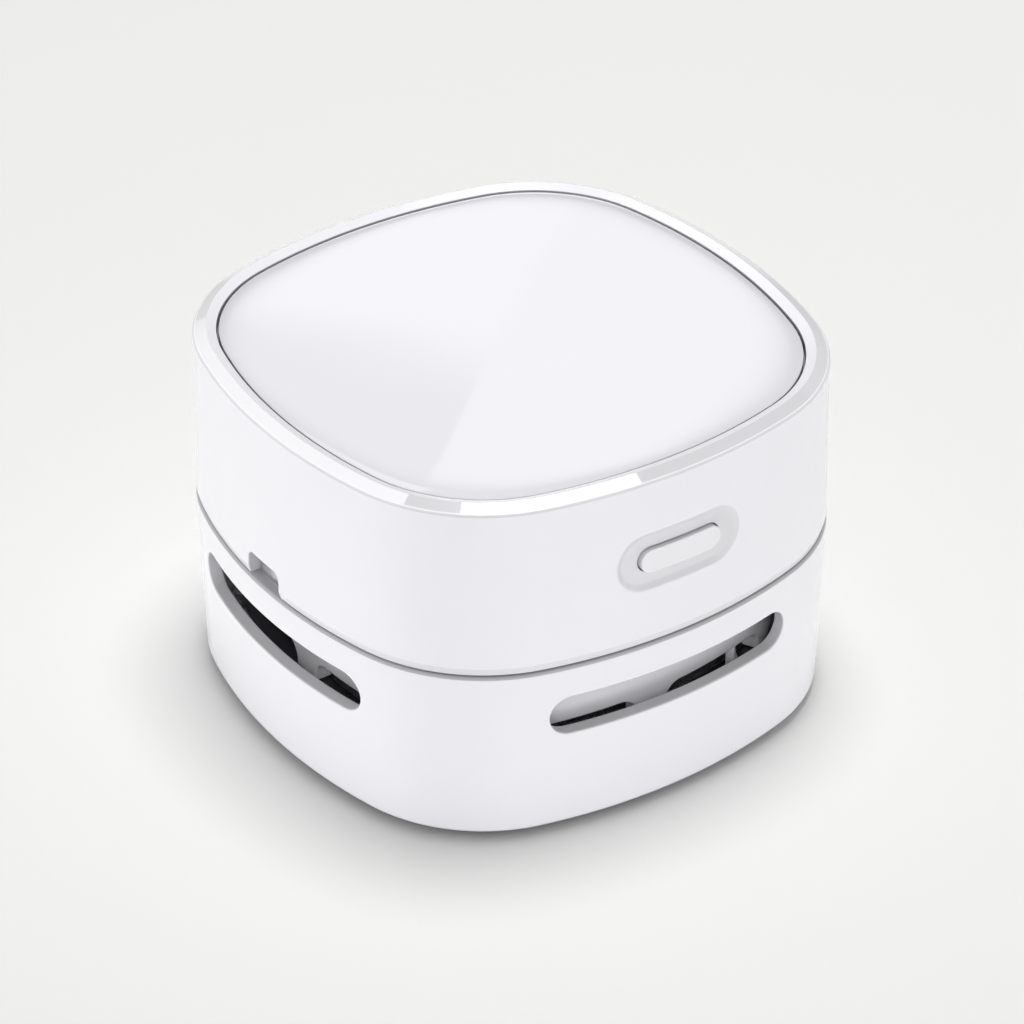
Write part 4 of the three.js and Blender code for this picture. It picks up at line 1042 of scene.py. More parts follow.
    def build(self) -> None:
        """Draws the casing and puts it in place."""
        foot, skirt = self.foot, self.foot + self.skirt_height
        first = quarter_round(self.skirt_inset, foot, self.foot_round, 3, True)
        outer = np.vstack([first, [[0, skirt], [0, FORM.rim]]])
        inner = np.array([[self.wall - 0.12, foot], [self.wall, foot + 0.12], [self.wall, FORM.rim]])
        rows = np.unique(np.round(np.concatenate([
            first[:, 1], [foot + 0.12, foot + 0.45], skirt + np.array([-0.25, -0.08, 0, 0.08]),
            self.first_row + self.row_pitch * np.arange(30),
        ]), 5))
        openings = (self.dish(), self.notch(), self.port())
        wall = Wall(rows, CASING_COLUMNS, outer, inner, top=self.rim(), openings=openings)
        sketch = Sketch()
        wall.draw(sketch, finish=self.finishes(*wall.profile().T))
        Dresser.piece("motor_unit_casing", sketch, "main_unit", "upper_shell", GLOSS_WHITE, BRIGHT_EDGE,
                      DISH_PAINTED_SHADE, GAP_PAINTED_SHADE, MID_PAINTED_SHADE, SKIRT_PAINTED_SHADE, PALE_PAINTED_SHADE)


@dataclass
class TopPanel:
    """Cover set into the rim: crowned all over, and rolled down at its edge."""

    inset: float = 3.6
    thickness: float = 1.6
    crown: float = 0.6
    roll_width: float = 7.0
    roll_drop: float = 0.35
    edge_round: float = 0.12
    half_steps: int = 40

    def height(self, share: Values, edge: float) -> Values:
        """Height over the panel's edge.

        A parabola falls from the middle to the edge. Within the roll's width a superellipse takes
        the last part down.

        Args:
            share: distance from the middle as a share of the panel's half width.
            edge: half width of the panel.

        Returns:
            Heights above the panel's flat top at its edge.
        """
        dome = self.crown * (1 - share**2)
        into = np.clip(1 - (1 - share) * edge / self.roll_width, 0, 1)
        return dome - self.roll_drop * (1 - np.sqrt(1 - (into * 0.98) ** 2.6))

    def build(self) -> None:
        """Draws the panel as a square grid wrapped to the outline, with its edge and its underside."""
        low = foot_of("top_panel")
        high = low + self.thickness
        angle, length = wall_table(self.inset)
        along = np.linspace(-1, 1, 2 * self.half_steps + 1)
        side = np.interp(along * length[-1] / 3, length, angle)
        even = np.linspace(0, 1, self.half_steps + 1)
        spread = np.sin(even * QUARTER) * 0.35 + even * 0.65
        edge = self.inset + self.edge_round
        half = float(np.max(FORM.place(side, high, edge)[:, 0]))
        sketch = Sketch()
        for q in range(4):
            inner = np.array([[0, 0, high + self.height(0.0, half)]])
            for ring in range(1, self.half_steps + 1):
                facing = np.interp(np.linspace(-1, 1, 2 * ring + 1), along, side)
                loop = FORM.place(facing, high, edge) * [spread[ring], spread[ring], 1]
                loop[:, 2] = high + self.height(spread[ring], half)
                outer = turned_about_z(loop, q * QUARTER)
                self.join(sketch, inner, outer)
                inner = outer
        around = np.concatenate([side[:-1] + q * QUARTER for q in range(4)])
        roll = quarter_round(self.inset, high + self.height(1.0, half), self.edge_round, 3, False)[::-1]
        rest = [[self.inset, high - 0.5], [self.inset, low + 0.2], [self.inset + 0.2, low]]
        inset, z = np.vstack([roll, rest]).T[..., None]
        rows = FORM.place(around, z, inset)
        middle = np.broadcast_to([0.0, 0.0, low], rows[:1].shape)
        # The panel's side and underside take the second finish, a grey that paints the shade of the gap round
        # it.
        sketch.loft(np.concatenate([rows, rows[-1:] * [0.5, 0.5, 1], middle]), np.array([0] * 3 + [1] * 5))
        # The panel's first finish is a darker white than the casing's: painted shade for the strong light on
        # top.
        Dresser.piece("top_cover", sketch, "main_unit", "top_panel", PANEL_WHITE_PAINTED_SHADE, GAP_PAINTED_SHADE)

    @staticmethod
    def join(sketch: Sketch, inner: np.ndarray, outer: np.ndarray) -> None:
        """Draws the quads between two neighbouring lines of a wedge, the outer longer by two points."""
        for pair in ([inner, outer[1:-1]], [outer[:2], inner[[0, 0]]], [outer[-2:], inner[[-1, -1]]]):
            sketch.grid(np.stack(pair))


def capsule(reach: float, radius: float, end_steps: int, side_steps: int = 1) -> np.ndarray:
    """Points along a capsule: round one end of its middle line, along a side, and back again."""
    turn = np.linspace(-QUARTER, QUARTER, end_steps + 1)
    end = np.stack([reach + radius * np.cos(turn), radius * np.sin(turn)], axis=1)
    along = np.linspace(reach, -reach, side_steps + 1)[1:-1]
    side = np.stack([along, np.full(len(along), radius)], axis=1)
    return np.concatenate([end, side, -end, -side])


@dataclass
class PowerButton:
    """Long button with round ends, its flange and its stem."""

    length: float = 12.75
    shift: float = -0.2
    height: float = 3.4
    face_inset: float = -0.2
    edge_round: float = 0.14
    flange: float = 1.0
    flange_thickness: float = 0.8
    stem: float = 1.0
    stem_radius: float = 1.7
    end_steps: int = 24
    side_steps: int = 16

    def contour(self, radius: float) -> np.ndarray:
        """Distance across and height along a capsule that stands off the button's middle line."""
        reach = self.length / 2 - self.height / 2
        return capsule(reach, radius, self.end_steps, self.side_steps) + [self.shift, 0]

    def build(self) -> None:
        """Draws face, side, flange and stem as one row of contours."""
        centre = (foot_of("power_button") + top_of("power_button")) / 2
        back = float(high_of("power_button")[1])
        stem_front = back - self.stem
        flange_front = stem_front - self.flange_thickness
        radius = self.height / 2
        face = [(r, self.face_inset) for r in (
            0.0, 0.35, 0.7, radius - 2 * self.edge_round, radius - 1.3 * self.edge_round
        )]
        turn = np.linspace(0, QUARTER, 6)
        inwards, deeper = self.edge_round * (1 - np.sin(turn)), self.edge_round * (1 - np.cos(turn))
        roll = list(zip(radius - inwards, self.face_inset + deeper))
        front = face + roll + [(radius, self.face_inset + 0.7)]
        wide = radius + self.flange
        behind = (
            (radius, flange_front - 0.1), (radius + 0.1, flange_front), (wide - 0.1, flange_front),
            (wide, flange_front + 0.1), (wide, stem_front - 0.1), (wide - 0.1, stem_front),
            (radius + 0.3, stem_front),
        )
        rows = [self.on_body(self.contour(r), centre, inset) for r, inset in front]
        rows += [self.on_plane(self.contour(r), centre, y) for r, y in behind]
        around = np.arctan2(self.contour(radius)[:, 1], self.contour(radius)[:, 0] - self.shift)
        for r, y in ((self.stem_radius, stem_front), (self.stem_radius, back - 0.2),
                     (self.stem_radius - 0.2, back), (0.0, back)):
            rows.append(self.on_plane(r * np.stack([np.cos(around), np.sin(around)], axis=1), centre, y))
        # The side, flange and stem take a grey that paints the shade along the button's edge.
        on_side = np.arange(len(rows) - 1) >= len(face + roll) - 2
        sketch = Sketch()
        sketch.loft(np.stack(rows), on_side.astype(int))
        Dresser.piece("push_button", sketch, "button", "power_button", BUTTON_WHITE, BUTTON_SIDE_PAINTED_SHADE)

    @staticmethod
    def on_body(contour: np.ndarray, centre: float, inset: float) -> np.ndarray:
        """A contour laid on the front wall at an inset."""
        across, z = contour[:, 0], centre + contour[:, 1]
        return FORM.place(FORM.facing(across, z, inset) - QUARTER, z, inset)

    @staticmethod
    def on_plane(contour: np.ndarray, centre: float, y: float) -> np.ndarray:
        """A contour laid on an upright plane across the front."""
        return np.stack([contour[:, 0], np.full(len(contour), y), centre + contour[:, 1]], axis=1)


def lathe(profile: np.ndarray, sides: int, x: float = 0.0, y: float = 0.0) -> np.ndarray:
    """Loops of a turned piece: each profile point, a radius and a height, goes round an upright axis."""
    around = np.linspace(0, 4 * QUARTER, sides, endpoint=False)
    return polar(profile[:, :1], around, profile[:, 1:2]) + [x, y, 0]


def slab(
    size: tuple[float, float, float], centre: tuple[float, float, float], corner: float, edge: float
) -> np.ndarray:
    """Loops of a block whose upright corners and whose top and bottom edges are rounded.

    Each loop is a rectangle shrunk by the corner radius, with a quarter circle round each of its corners.
    Near the top and the bottom the loops shrink along another quarter circle.

    Args:
        size: width, depth and height.
        centre: middle of the block.
        corner: radius of its upright corners.
        edge: radius of its top and bottom edges.

    Returns:
        Loops from the bottom's middle to the top's middle.
    """
    half = np.array(size) / 2
    turn = np.linspace(0, QUARTER, 5)
    around = np.concatenate([turn + q * QUARTER for q in range(4)])
    sign = np.repeat(np.array([[1, 1], [-1, 1], [-1, -1], [1, -1]]), len(turn), axis=0)
    roll = np.linspace(0, QUARTER, 4)
    shrink = np.concatenate([edge * (1 - np.sin(roll)), (edge * (1 - np.sin(roll)))[::-1]])
    rise = np.concatenate([edge * (1 - np.cos(roll)) - half[2], half[2] - (edge * (1 - np.cos(roll)))[::-1]])
    rows = []
    for inwards, z in zip(shrink, rise):
        radius = max(corner - inwards, 0.0)
        core = sign * (half[:2] - max(corner, inwards))
        loop = core + radius * np.stack([np.cos(around), np.sin(around)], axis=1)
        rows.append(np.column_stack([loop, np.full(len(loop), z)]))
    cap = [rows[0] * [0, 0, 1]], [rows[-1] * [0, 0, 1]]
    return np.array(cap[0] + rows + cap[1]) + np.array(centre)


@dataclass
class FanHousing:
    """Ring with arched windows that are open at the foot, deck over the fan, flange and collar."""

    ring_inset: float = 6.6
    ring_wall: float = 2.6
    neck_inset: float = 2.5
    neck_wall: float = 1.5
    seal_depth: float = 0.9
    pier: float = 2.5
    pier_shift: tuple[float, ...] = (0.0, 0.0, -1.4, 0.5)
    window_end: float = 21.6
    window_height: float = 3.5
    window_round: float = 2.6
    window_margin: tuple[float, float] = (0.6, 22.4)
    rib: tuple[float, float, float] = (15.9, 16.7, 17.9)
    shared_rows: float = 4.5
    hub: float = 3.3
    deck_inset: float = 16.0
    post_radius: float = 2.6
    post_inset: float = 4.0
    boss_radius: float = 2.4
    boss_distance: float = 28.0
    hole_radius: float = 1.15
    hole_depth: float = 5.0

    def columns(self) -> tuple[Columns, float]:
        """Columns by their length of wall, and the length of a quarter."""
        quarter = wall_table(self.ring_inset)[1][-1] * 2 / 3
        start, end = self.window_margin
        side = np.linspace(start, end, 37)
        across = np.concatenate([
            [-start, 0.0], side, np.linspace(end, quarter - end, 15)[1:-1], (quarter - side[::-1])[:-1]
        ])
        return Columns(across, 0, self.ring_inset), quarter

    def windows(self, foot: float, quarter: float) -> tuple[Opening, ...]:
        """Two windows in each side, with a pier between them that isn't quite in the middle."""
        start, end = self.window_margin
        stages = through_hole(self.window_round, 0.25, 0.2, self.ring_wall)
        heights = (foot, foot + self.shared_rows)
        core = (foot - 1, foot + self.window_height - self.window_round)
        windows = []
        for q in range(4):
            near = self.pier + self.pier_shift[q]
            far = quarter - self.pier + self.pier_shift[(q + 1) % 4]
            for edges, left, right in (((start, end), near, self.window_end),
                                       ((quarter - end, quarter - start), quarter - self.window_end, far)):
                span = (left + self.window_round, right - self.window_round)
                windows.append(Opening(q, edges, heights, span, core, stages, True))
        return tuple(windows)

    def draw_ribs(self, sketch: Sketch, columns: Columns, foot: float) -> None:
        """Draws a thin upright rib in one window of each side, wider towards its foot."""
        near, top, bottom = self.rib
        front, back = self.ring_inset + 0.02, self.ring_inset + 1.2
        inset = np.array([back, front + 0.15, front, front, front + 0.15, back])
        for q in range(4):
            rows = []
            for z, far in ((foot, bottom), (foot + 2.8, top), (foot + self.window_height + 0.3, top)):
                across = np.array([near, near, near + 0.15, far - 0.15, far, far])
                rows.append(FORM.place(columns.facing(across, z, inset) + q * QUARTER, z, inset))
            sketch.capped(rows)

    def over_the_top(self, foot: float) -> np.ndarray:
        """Rows from the outer skin over flange, collar and upstand, down to the deck and under it.

        The deck's rows blend from the body's outline to the circle of the hub's hole.
        """
        inner = self.ring_inset + self.ring_wall
        collar = self.neck_inset + self.neck_wall
        flange_top, flange = FORM.split + 0.3, FORM.split - 1.3
        neck = flange_top - 4.0
        top = flange_top + 4.4
        seal = [neck + (flange - neck) / 2 + d for d in (-1.05, 1.05)]
        groove = self.neck_inset + self.seal_depth
        deck, deck_top = foot + 4.8, foot + 6.8
        top_row = foot + self.shared_rows
        outside = softened([
            (self.ring_inset, top_row, 0), (self.ring_inset, flange, 0.4), (collar, flange, 0.2),
            (collar, neck, 0.2), (self.neck_inset, neck, 0.2), (self.neck_inset, seal[0], 0.1),
            (groove, seal[0], 0.1), (groove, seal[1], 0.1), (self.neck_inset, seal[1], 0.1),
            (self.neck_inset, top, 0.3), (collar, top, 0.3), (collar, flange_top, 0.3),
            (inner, flange_top, 0.4), (inner, deck_top, 0.8), (self.deck_inset, deck_top, 0),
        ])[1:]
        shares = (0.25, 0.5, 0.75, 0.97, 1.0)
        above = [(self.deck_inset, deck_top, share) for share in shares]
        below = [(self.deck_inset, deck, share) for share in shares[::-1]]
        inside = softened([(self.deck_inset, deck, 0), (inner, deck, 0.25), (inner, top_row, 0)])
        no_share = ((0, 0), (0, 1))
        return np.vstack([np.pad(outside, no_share), above, below, np.pad(inside[:-1], no_share)])

    def build(self) -> None:
        """Draws the housing and puts it in place."""
        foot = foot_of("fan_housing")
        columns, quarter = self.columns()
        outer = np.array([[self.ring_inset + 0.15, foot], [self.ring_inset, foot + 0.15]])
        inner_inset = self.ring_inset + self.ring_wall
        inner = np.array([[inner_inset - 0.15, foot], [inner_inset, foot + 0.15]])
        rows = foot + np.concatenate([[0, 0.15, 0.35], np.linspace(0.7, self.shared_rows, 11)])
        wall = Wall(rows, columns, outer, inner, top=self.over_the_top(foot),
                    openings=self.windows(foot, quarter), hub=self.hub)
        inset, z = wall.profile().T
        # The collar takes a paler white than the ring: painted light where it shows in the notch.
        on_collar = (z > FORM.split + 0.4) & (inset < self.neck_inset + 0.3)
        sketch = Sketch()
        wall.draw(sketch, finish=on_collar.astype(int))
        self.draw_ribs(sketch, columns, foot)
        self.draw_posts(sketch)
        Dresser.piece("blower_housing", sketch, "main_unit", "fan_housing", HOUSING_GREY, COLLAR_PAINTED_LIGHT)

    def draw_posts(self, sketch: Sketch) -> None:
        """Draws the four screw posts on the flange and the chassis's two bosses on the deck."""
        reach = FORM.corner_reach(FORM.split, self.post_inset) - 0.4 - self.post_radius
        post = FORM.split - 1.0, FORM.split + 5.9
        boss = foot_of("fan_housing") + 6.4, foot_of("chassis_plate")
        posts = [(self.post_radius, post, place) for place in corner_places(reach)]
        posts += [(self.boss_radius, boss, (x, 0.0)) for x in (self.boss_distance, -self.boss_distance)]
        for radius, (low, top), place in posts:
            hole_foot = top - self.hole_depth
            profile = softened([
                (0, low, 0), (radius, low, 0), (radius, top, 0.3), (self.hole_radius, top, 0.1),
                (self.hole_radius, hole_foot, 0), (0, hole_foot, 0),
            ])
            sketch.loft(lathe(profile, 32, *place))


@dataclass
class NeckSeal:
    """Rubber ring in the collar's groove, with two soft lips."""

    def build(self) -> None:
        """Draws the ring from a closed profile with two waves on its outer side."""
        low, high = foot_of("neck_seal"), top_of("neck_seal")
        z = np.linspace(low + 0.08, high - 0.08, 15)
        lips = 2.3 + 0.22 * np.cos((z - low) / (high - low) * 4 * math.pi + math.pi) ** 2
        profile = np.vstack([
            np.stack([lips, z], axis=1), [[2.6, high], [3.0, high], [3.1, high - 0.1], [3.1, low + 0.1],
                                          [3.0, low], [2.6, low]],
        ])
        sketch = Sketch()
        sketch.ring(Columns.spaced(16, 1.5, 18).ring(profile))
        Dresser.piece("neck_gasket", sketch, "main_unit", "neck_seal", SEAL)


@dataclass
class Impeller:
    """Backward-curved fan: disc on top, nine blades below, hub on the shaft."""

    radius: float = 25.0
    eye: float = 9.5
    hub: float = 4.0
    bore: float = 1.3
    blades: int = 9
    blade_height: float = 2.9
    thickness: float = 1.1
    sweep: float = 0.95
    steps: int = 28

    def blade(self, start: float, low: float, root: float) -> np.ndarray:
        """Loops of one blade.

        Its middle line runs from the eye to the rim while its angle grows by the sweep. The half
        thickness follows a steep dome along the line, so both ends are round.

        Args:
            start: angle of the blade's root.
            low: height of its lower edge.
            root: height inside the disc at which it ends.

        Returns:
            Loops from its lower edge to its root.
        """
        share = np.linspace(0, 1, self.steps + 1)
        radius = self.eye + (self.radius - self.eye) * share
        angle = start + self.sweep * share
        line = polar(radius, angle, 0.0)[:, :2]
        along = np.gradient(line, axis=0)
        normal = np.stack([-along[:, 1], along[:, 0]], axis=1)
        normal /= np.linalg.norm(normal, axis=1, keepdims=True)
        half = self.thickness / 2 * (1 - np.abs(2 * share - 1) ** 18) ** 0.5
        rows = []
        foot = (low, 1.0), (low, 0.25), (low + 0.06, 0.1), (low + 0.2, 0.0)
        for z, shrink in (*foot, (root, 0.0), (root, 1.0)):
            side = normal * (half * (1 - shrink))[:, None]
            loop = np.concatenate([line + side, (line - side)[::-1][1:-1]])
            rows.append(np.column_stack([loop, np.full(len(loop), z)]))
        return np.array(rows)

    def build(self) -> None:
        """Draws disc, hub and blades."""
        top = top_of("impeller")
        low = foot_of("impeller")
        under = low + self.blade_height
        profile = softened([
            (self.bore, low, 0), (self.hub, low, 0.4), (self.hub, under, 0.5), (self.radius, under, 0.3),
            (self.radius, top, 0.3), (self.hub + 1, top, 0.5), (self.hub, top, 0), (self.bore, top, 0),
        ])
        sketch = Sketch()
        sketch.ring(lathe(profile, 144))
        for i in range(self.blades):
            sketch.loft(self.blade(i * 4 * QUARTER / self.blades, low, under + 0.4))
        Dresser.piece("suction_fan", sketch, "rotor", "impeller", FAN_DARK)


@dataclass
class BasePlate:
    """Plate that closes the dust box: tray wall, inlet with its chimney, channels, recesses and holes."""

    edge_inset: float = 2.3
    ring_inset: float = 6.6
    tray_wall: float = 1.4
    thickness: float = 1.2
    inlet: float = 10.5
    flare: float = 1.2
    chimney_wall: float = 1.4
    chimney_height: float = 2.6
    blend_inset: float = 15.0
    strip: tuple[float, float] = (25.0, 2.6)
    strip_distance: float = 16.4
    strip_depth: float = 1.5
    fit: float = 0.3
    channel_wall: float = 1.2
    channel_roof: float = 0.9
    foot_distance: float = 33.04
    foot_pocket: float = 3.3
    pocket_depth: float = 0.6
    screw_distance: float = 38.84
    head_pocket: float = 2.0
    screw_hole: float = 1.15
    hole_depth: float = 3.0

    def profile(self) -> np.ndarray:
        """Rows from the underside over the edge, the tray wall and the chimney, and down the inlet.

        Each row has its inset, its height, 0 for the body's outline or 1 for a circle, and its radius.
        """
        low = foot_of("base_plate")
        floor, tray = low + self.thickness, top_of("base_plate")
        chimney = floor + self.chimney_height
        inner = self.ring_inset + self.tray_wall
        outside = softened([
            (self.blend_inset, low, 0), (self.edge_inset, low, 0.25), (self.edge_inset, floor, 0.25),
            (self.ring_inset, floor, 0.3), (self.ring_inset, tray, 0.3), (inner, tray, 0.3),
            (inner, floor, 0.8), (self.blend_inset, floor, 0),
        ])
        wall = self.inlet + self.chimney_wall
        turned = softened([
            (wall + 3, floor, 0), (wall, floor, 0.8), (wall, chimney, 0.4), (self.inlet, chimney, 0.4),
            (self.inlet, low + self.flare, 0.6), (self.inlet + self.flare, low, 0.3), (wall + 3, low, 0),
        ])
        inwards = [(self.blend_inset, z, 1, radius) for radius, z in turned]
        return np.vstack([np.pad(outside, ((0, 0), (0, 2))), inwards])

    def surface(self) -> np.ndarray:
        """Loops of the plate: body outlines outside, circles round the inlet."""
        inset, z, on_circle, radius = self.profile().T[..., None]
        angles = Columns.spaced(16, 1.25, 16).angles(z[:, 0], inset[:, 0])
        return np.where(on_circle[..., None] == 1, polar(radius, angles, z), FORM.place(angles, z, inset))

    def strip_block(self, margin: float, low: float, high: float, q: int) -> np.ndarray:
        """Loops of a brush strip's block, grown by a margin, on one side of the inlet."""
        size = (self.strip[0] + 2 * margin, self.strip[1] + 2 * margin, high - low)
        block = slab(size, (0, -self.strip_distance, (low + high) / 2), 0.3 + margin / 2, 0.12)
        return turned_about_z(block, q * QUARTER)

    def build(self) -> None:
        """Draws the plate and its channels, and cuts grooves, pockets and holes."""
        low = foot_of("base_plate")
        roof = low + self.strip_depth + self.channel_roof
        plate, cutters = Sketch(), Sketch()
        plate.ring(self.surface())
        pocket = self.hole([(self.foot_pocket, self.pocket_depth)])
        bore = self.hole([(self.head_pocket, self.pocket_depth), (self.screw_hole, self.hole_depth)])
        places = zip(corner_places(self.foot_distance), corner_places(self.screw_distance))
        for q, (foot, screw) in enumerate(places):
            plate.loft(self.strip_block(self.channel_wall, low + 0.3, roof, q))
            cutters.loft(self.strip_block(self.fit, low - 1, low + self.strip_depth, q))
            cutters.loft(lathe(pocket, 48, *foot))
            cutters.loft(lathe(bore, 32, *screw))
        mesh = carved(plate.mesh("dust_box_base"), cutters.mesh("base_cutters"))
        Dresser.piece("dust_box_base", mesh, "dust_box", "base_plate", BASE_WHITE)

    @staticmethod
    def hole(steps: Sequence[tuple[float, float]]) -> np.ndarray:
        """Profile of a cutter from below the plate, by the radius and the depth of each of its steps."""
        low = foot_of("base_plate")
        profile = [(0.0, low - 1)]
        for radius, depth in steps:
            profile += [(radius, profile[-1][1]), (radius, low + depth)]
        return np.array([*profile, (0.0, profile[-1][1])])


def carved(mesh: bpy.types.Mesh, cutter: bpy.types.Mesh) -> bpy.types.Mesh:
    """A mesh with another cut out of it, and its sharp edges marked.

    Args:
        mesh: the mesh that is cut, whose solids may run into each other.
        cutter: closed solids that don't touch each other.

    Returns:
        The cut mesh.
    """
    body, knife = placed("carving", mesh), placed("knife", cutter)
    cut = body.modifiers.new("cut", "BOOLEAN")
    cut.object, cut.operation, cut.solver = knife, "DIFFERENCE", "MANIFOLD"
    result = bpy.data.meshes.new_from_object(body.evaluated_get(bpy.context.evaluated_depsgraph_get()))
    for thing in (body, knife):
        bpy.data.objects.remove(thing)
    shape = bmesh.new()
    shape.from_mesh(result)
    bmesh.ops.remove_doubles(shape, verts=shape.verts, dist=WELD * MM)
    for face in shape.faces:
        face.smooth = True
    mark_creases(shape)
    shape.to_mesh(result)
    shape.free()
    result.name = mesh.name
    result.materials.clear()
    return result


@dataclass
class Brushes:
    """Four strips of bristles round the inlet."""

    length: float = 25.0
    width: float = 2.6
    distance: float = 16.4
    rows: int = 5
    per_row: int = 56
    radius: float = 0.13
    tip: float = 0.35
    sides: int = 5
    steps: int = 4
    seed: int = 7

    def strands(self, foot: float) -> np.ndarray:
        """All bristles of a strip, as loops: bristle, step along it, point round it, coordinate.

        A bristle leaves the backing upright and bends outwards with the square of its length. Its
        radius shrinks towards the tip.

        Args:
            foot: height of the backing's underside.

        Returns:
            Array of bristles by loops by points by coordinates.
        """
        luck = np.random.default_rng(self.seed)
        count = self.rows * self.per_row
        across = (np.arange(self.rows) - (self.rows - 1) / 2) * 0.42
        along = np.linspace(-self.length / 2 + 0.7, self.length / 2 - 0.7, self.per_row)
        y, x = (grid.ravel() for grid in np.meshgrid(across, along, indexing="ij"))
        x = x + luck.uniform(-0.12, 0.12, count)
        y = y + luck.uniform(-0.08, 0.08, count)
        bend_x = x / self.length * 1.0 + luck.normal(0, 0.12, count)
        bend_y = y * 0.35 + luck.normal(0, 0.1, count)
        reach = foot - self.tip + luck.uniform(-0.12, 0.0, count)
        share = np.linspace(0, 1, self.steps + 1)[None, :, None]
        turn = np.linspace(0, 4 * QUARTER, self.sides, endpoint=False)[None, None, :]
        radius = self.radius * (1 - 0.35 * share)
        shape = (count, self.steps + 1, self.sides)
        px = x[:, None, None] + bend_x[:, None, None] * share**2 + radius * np.cos(turn)
        py = y[:, None, None] + bend_y[:, None, None] * share**2 + radius * np.sin(turn)
        pz = foot + 0.3 - (reach[:, None, None] + 0.3) * share
        return np.stack([np.broadcast_to(v, shape) for v in (px, py - self.distance, pz)], axis=-1)

    def build(self) -> None:
        """Draws each strip's backing and bristles."""
        top = top_of("brush_front")
        foot = top - 1.2
        strands = self.strands(foot)
        middle = 0, -self.distance, (top + foot) / 2
        backing = slab((self.length, self.width, top - foot), middle, 0.3, 0.15)
        for q, side in enumerate(("front", "right", "rear", "left")):
            sketch = Sketch()
            sketch.loft(turned_about_z(backing, q * QUARTER))
            for strand in turned_about_z(strands, q * QUARTER):
                sketch.capped(strand)
            Dresser.piece(f"bristle_strip_{side}", sketch, "dust_box", f"brush_{side}", BRISTLE)


@dataclass
class GlideFeet:
    """Four smooth feet with a rounded rim and a shallow dimple."""

    radius: float = 3.0
    distance: float = 33.04
    rounding: float = 0.6

    def build(self) -> None:
        """Draws each foot as a turned piece."""
        top = top_of("glide_foot_1")
        profile = softened([
            (0, 0.12, 0), (1.1, 0.12, 0.3), (1.5, 0, 0.3), (self.radius, 0, self.rounding),
            (self.radius, top, 0.1), (0, top, 0),
        ], 6)
        for number, place in enumerate(corner_places(self.distance), 1):
            sketch = Sketch()
            sketch.loft(lathe(profile, 56, *place))
            Dresser.piece(f"glide_pad_{number}", sketch, "dust_box", f"glide_foot_{number}", GLIDE)


@dataclass
class BaseScrews:
    """Cross-head screws that hold the base plate."""

    head: float = 1.7
    head_height: float = 1.1
    shank: float = 0.85
    thread_depth: float = 0.12
    thread_pitch: float = 0.4
    cross_width: float = 0.5
    cross_reach: float = 1.15
    cross_depth: float = 0.6
    distance: float = 38.84
    grid_steps: int = 40

    def face(self, z: float) -> np.ndarray:
        """The head's face with its cross, as a disc of concentric loops.

        The face is sunk where the lesser of the distances to the two arms' middle lines is within half
        the cross's width, and only within its reach.
        """
        radius = np.linspace(self.head - 0.25, 0, self.grid_steps)[:, None]
        around = np.linspace(0, 4 * QUARTER, 96, endpoint=False)[None, :]
        x, y = np.moveaxis(polar(radius, around, z)[..., :2], -1, 0)
        beside = np.minimum(np.abs(x), np.abs(y)) - self.cross_width / 2
        beyond = np.maximum(np.abs(x), np.abs(y)) - self.cross_reach
        sunk = smooth_step(0.5 - np.maximum(beside, beyond) / 0.12)
        return polar(radius, around, z + self.cross_depth * sunk)

    def build(self) -> None:
        """Draws each screw head down, with its thread as stacked ridges."""
        for number, place in enumerate(corner_places(self.distance), 1):
            node = f"base_screw_{number}"
            low, high = foot_of(node), top_of(node)
            seat = low + self.head_height
            ridges = np.arange(seat + 0.4, high - 0.5, self.thread_pitch / 2)
            thread = np.stack([self.shank - self.thread_depth * (np.arange(len(ridges)) % 2), ridges], axis=1)
            profile = np.vstack([
                softened([(self.head - 0.25, low, 0), (self.head, low + 0.25, 0.2), (self.head, seat, 0.1),
                          (self.shank, seat, 0)])[1:],
                thread, [[self.shank * 0.7, high], [0, high]],
            ])
            sketch = Sketch()
            sketch.loft(np.concatenate([self.face(low)[::-1], lathe(profile, 96)]) + [*place, 0])
            Dresser.piece(f"base_plate_screw_{number}", sketch, "dust_box", node, SCREW_STEEL)


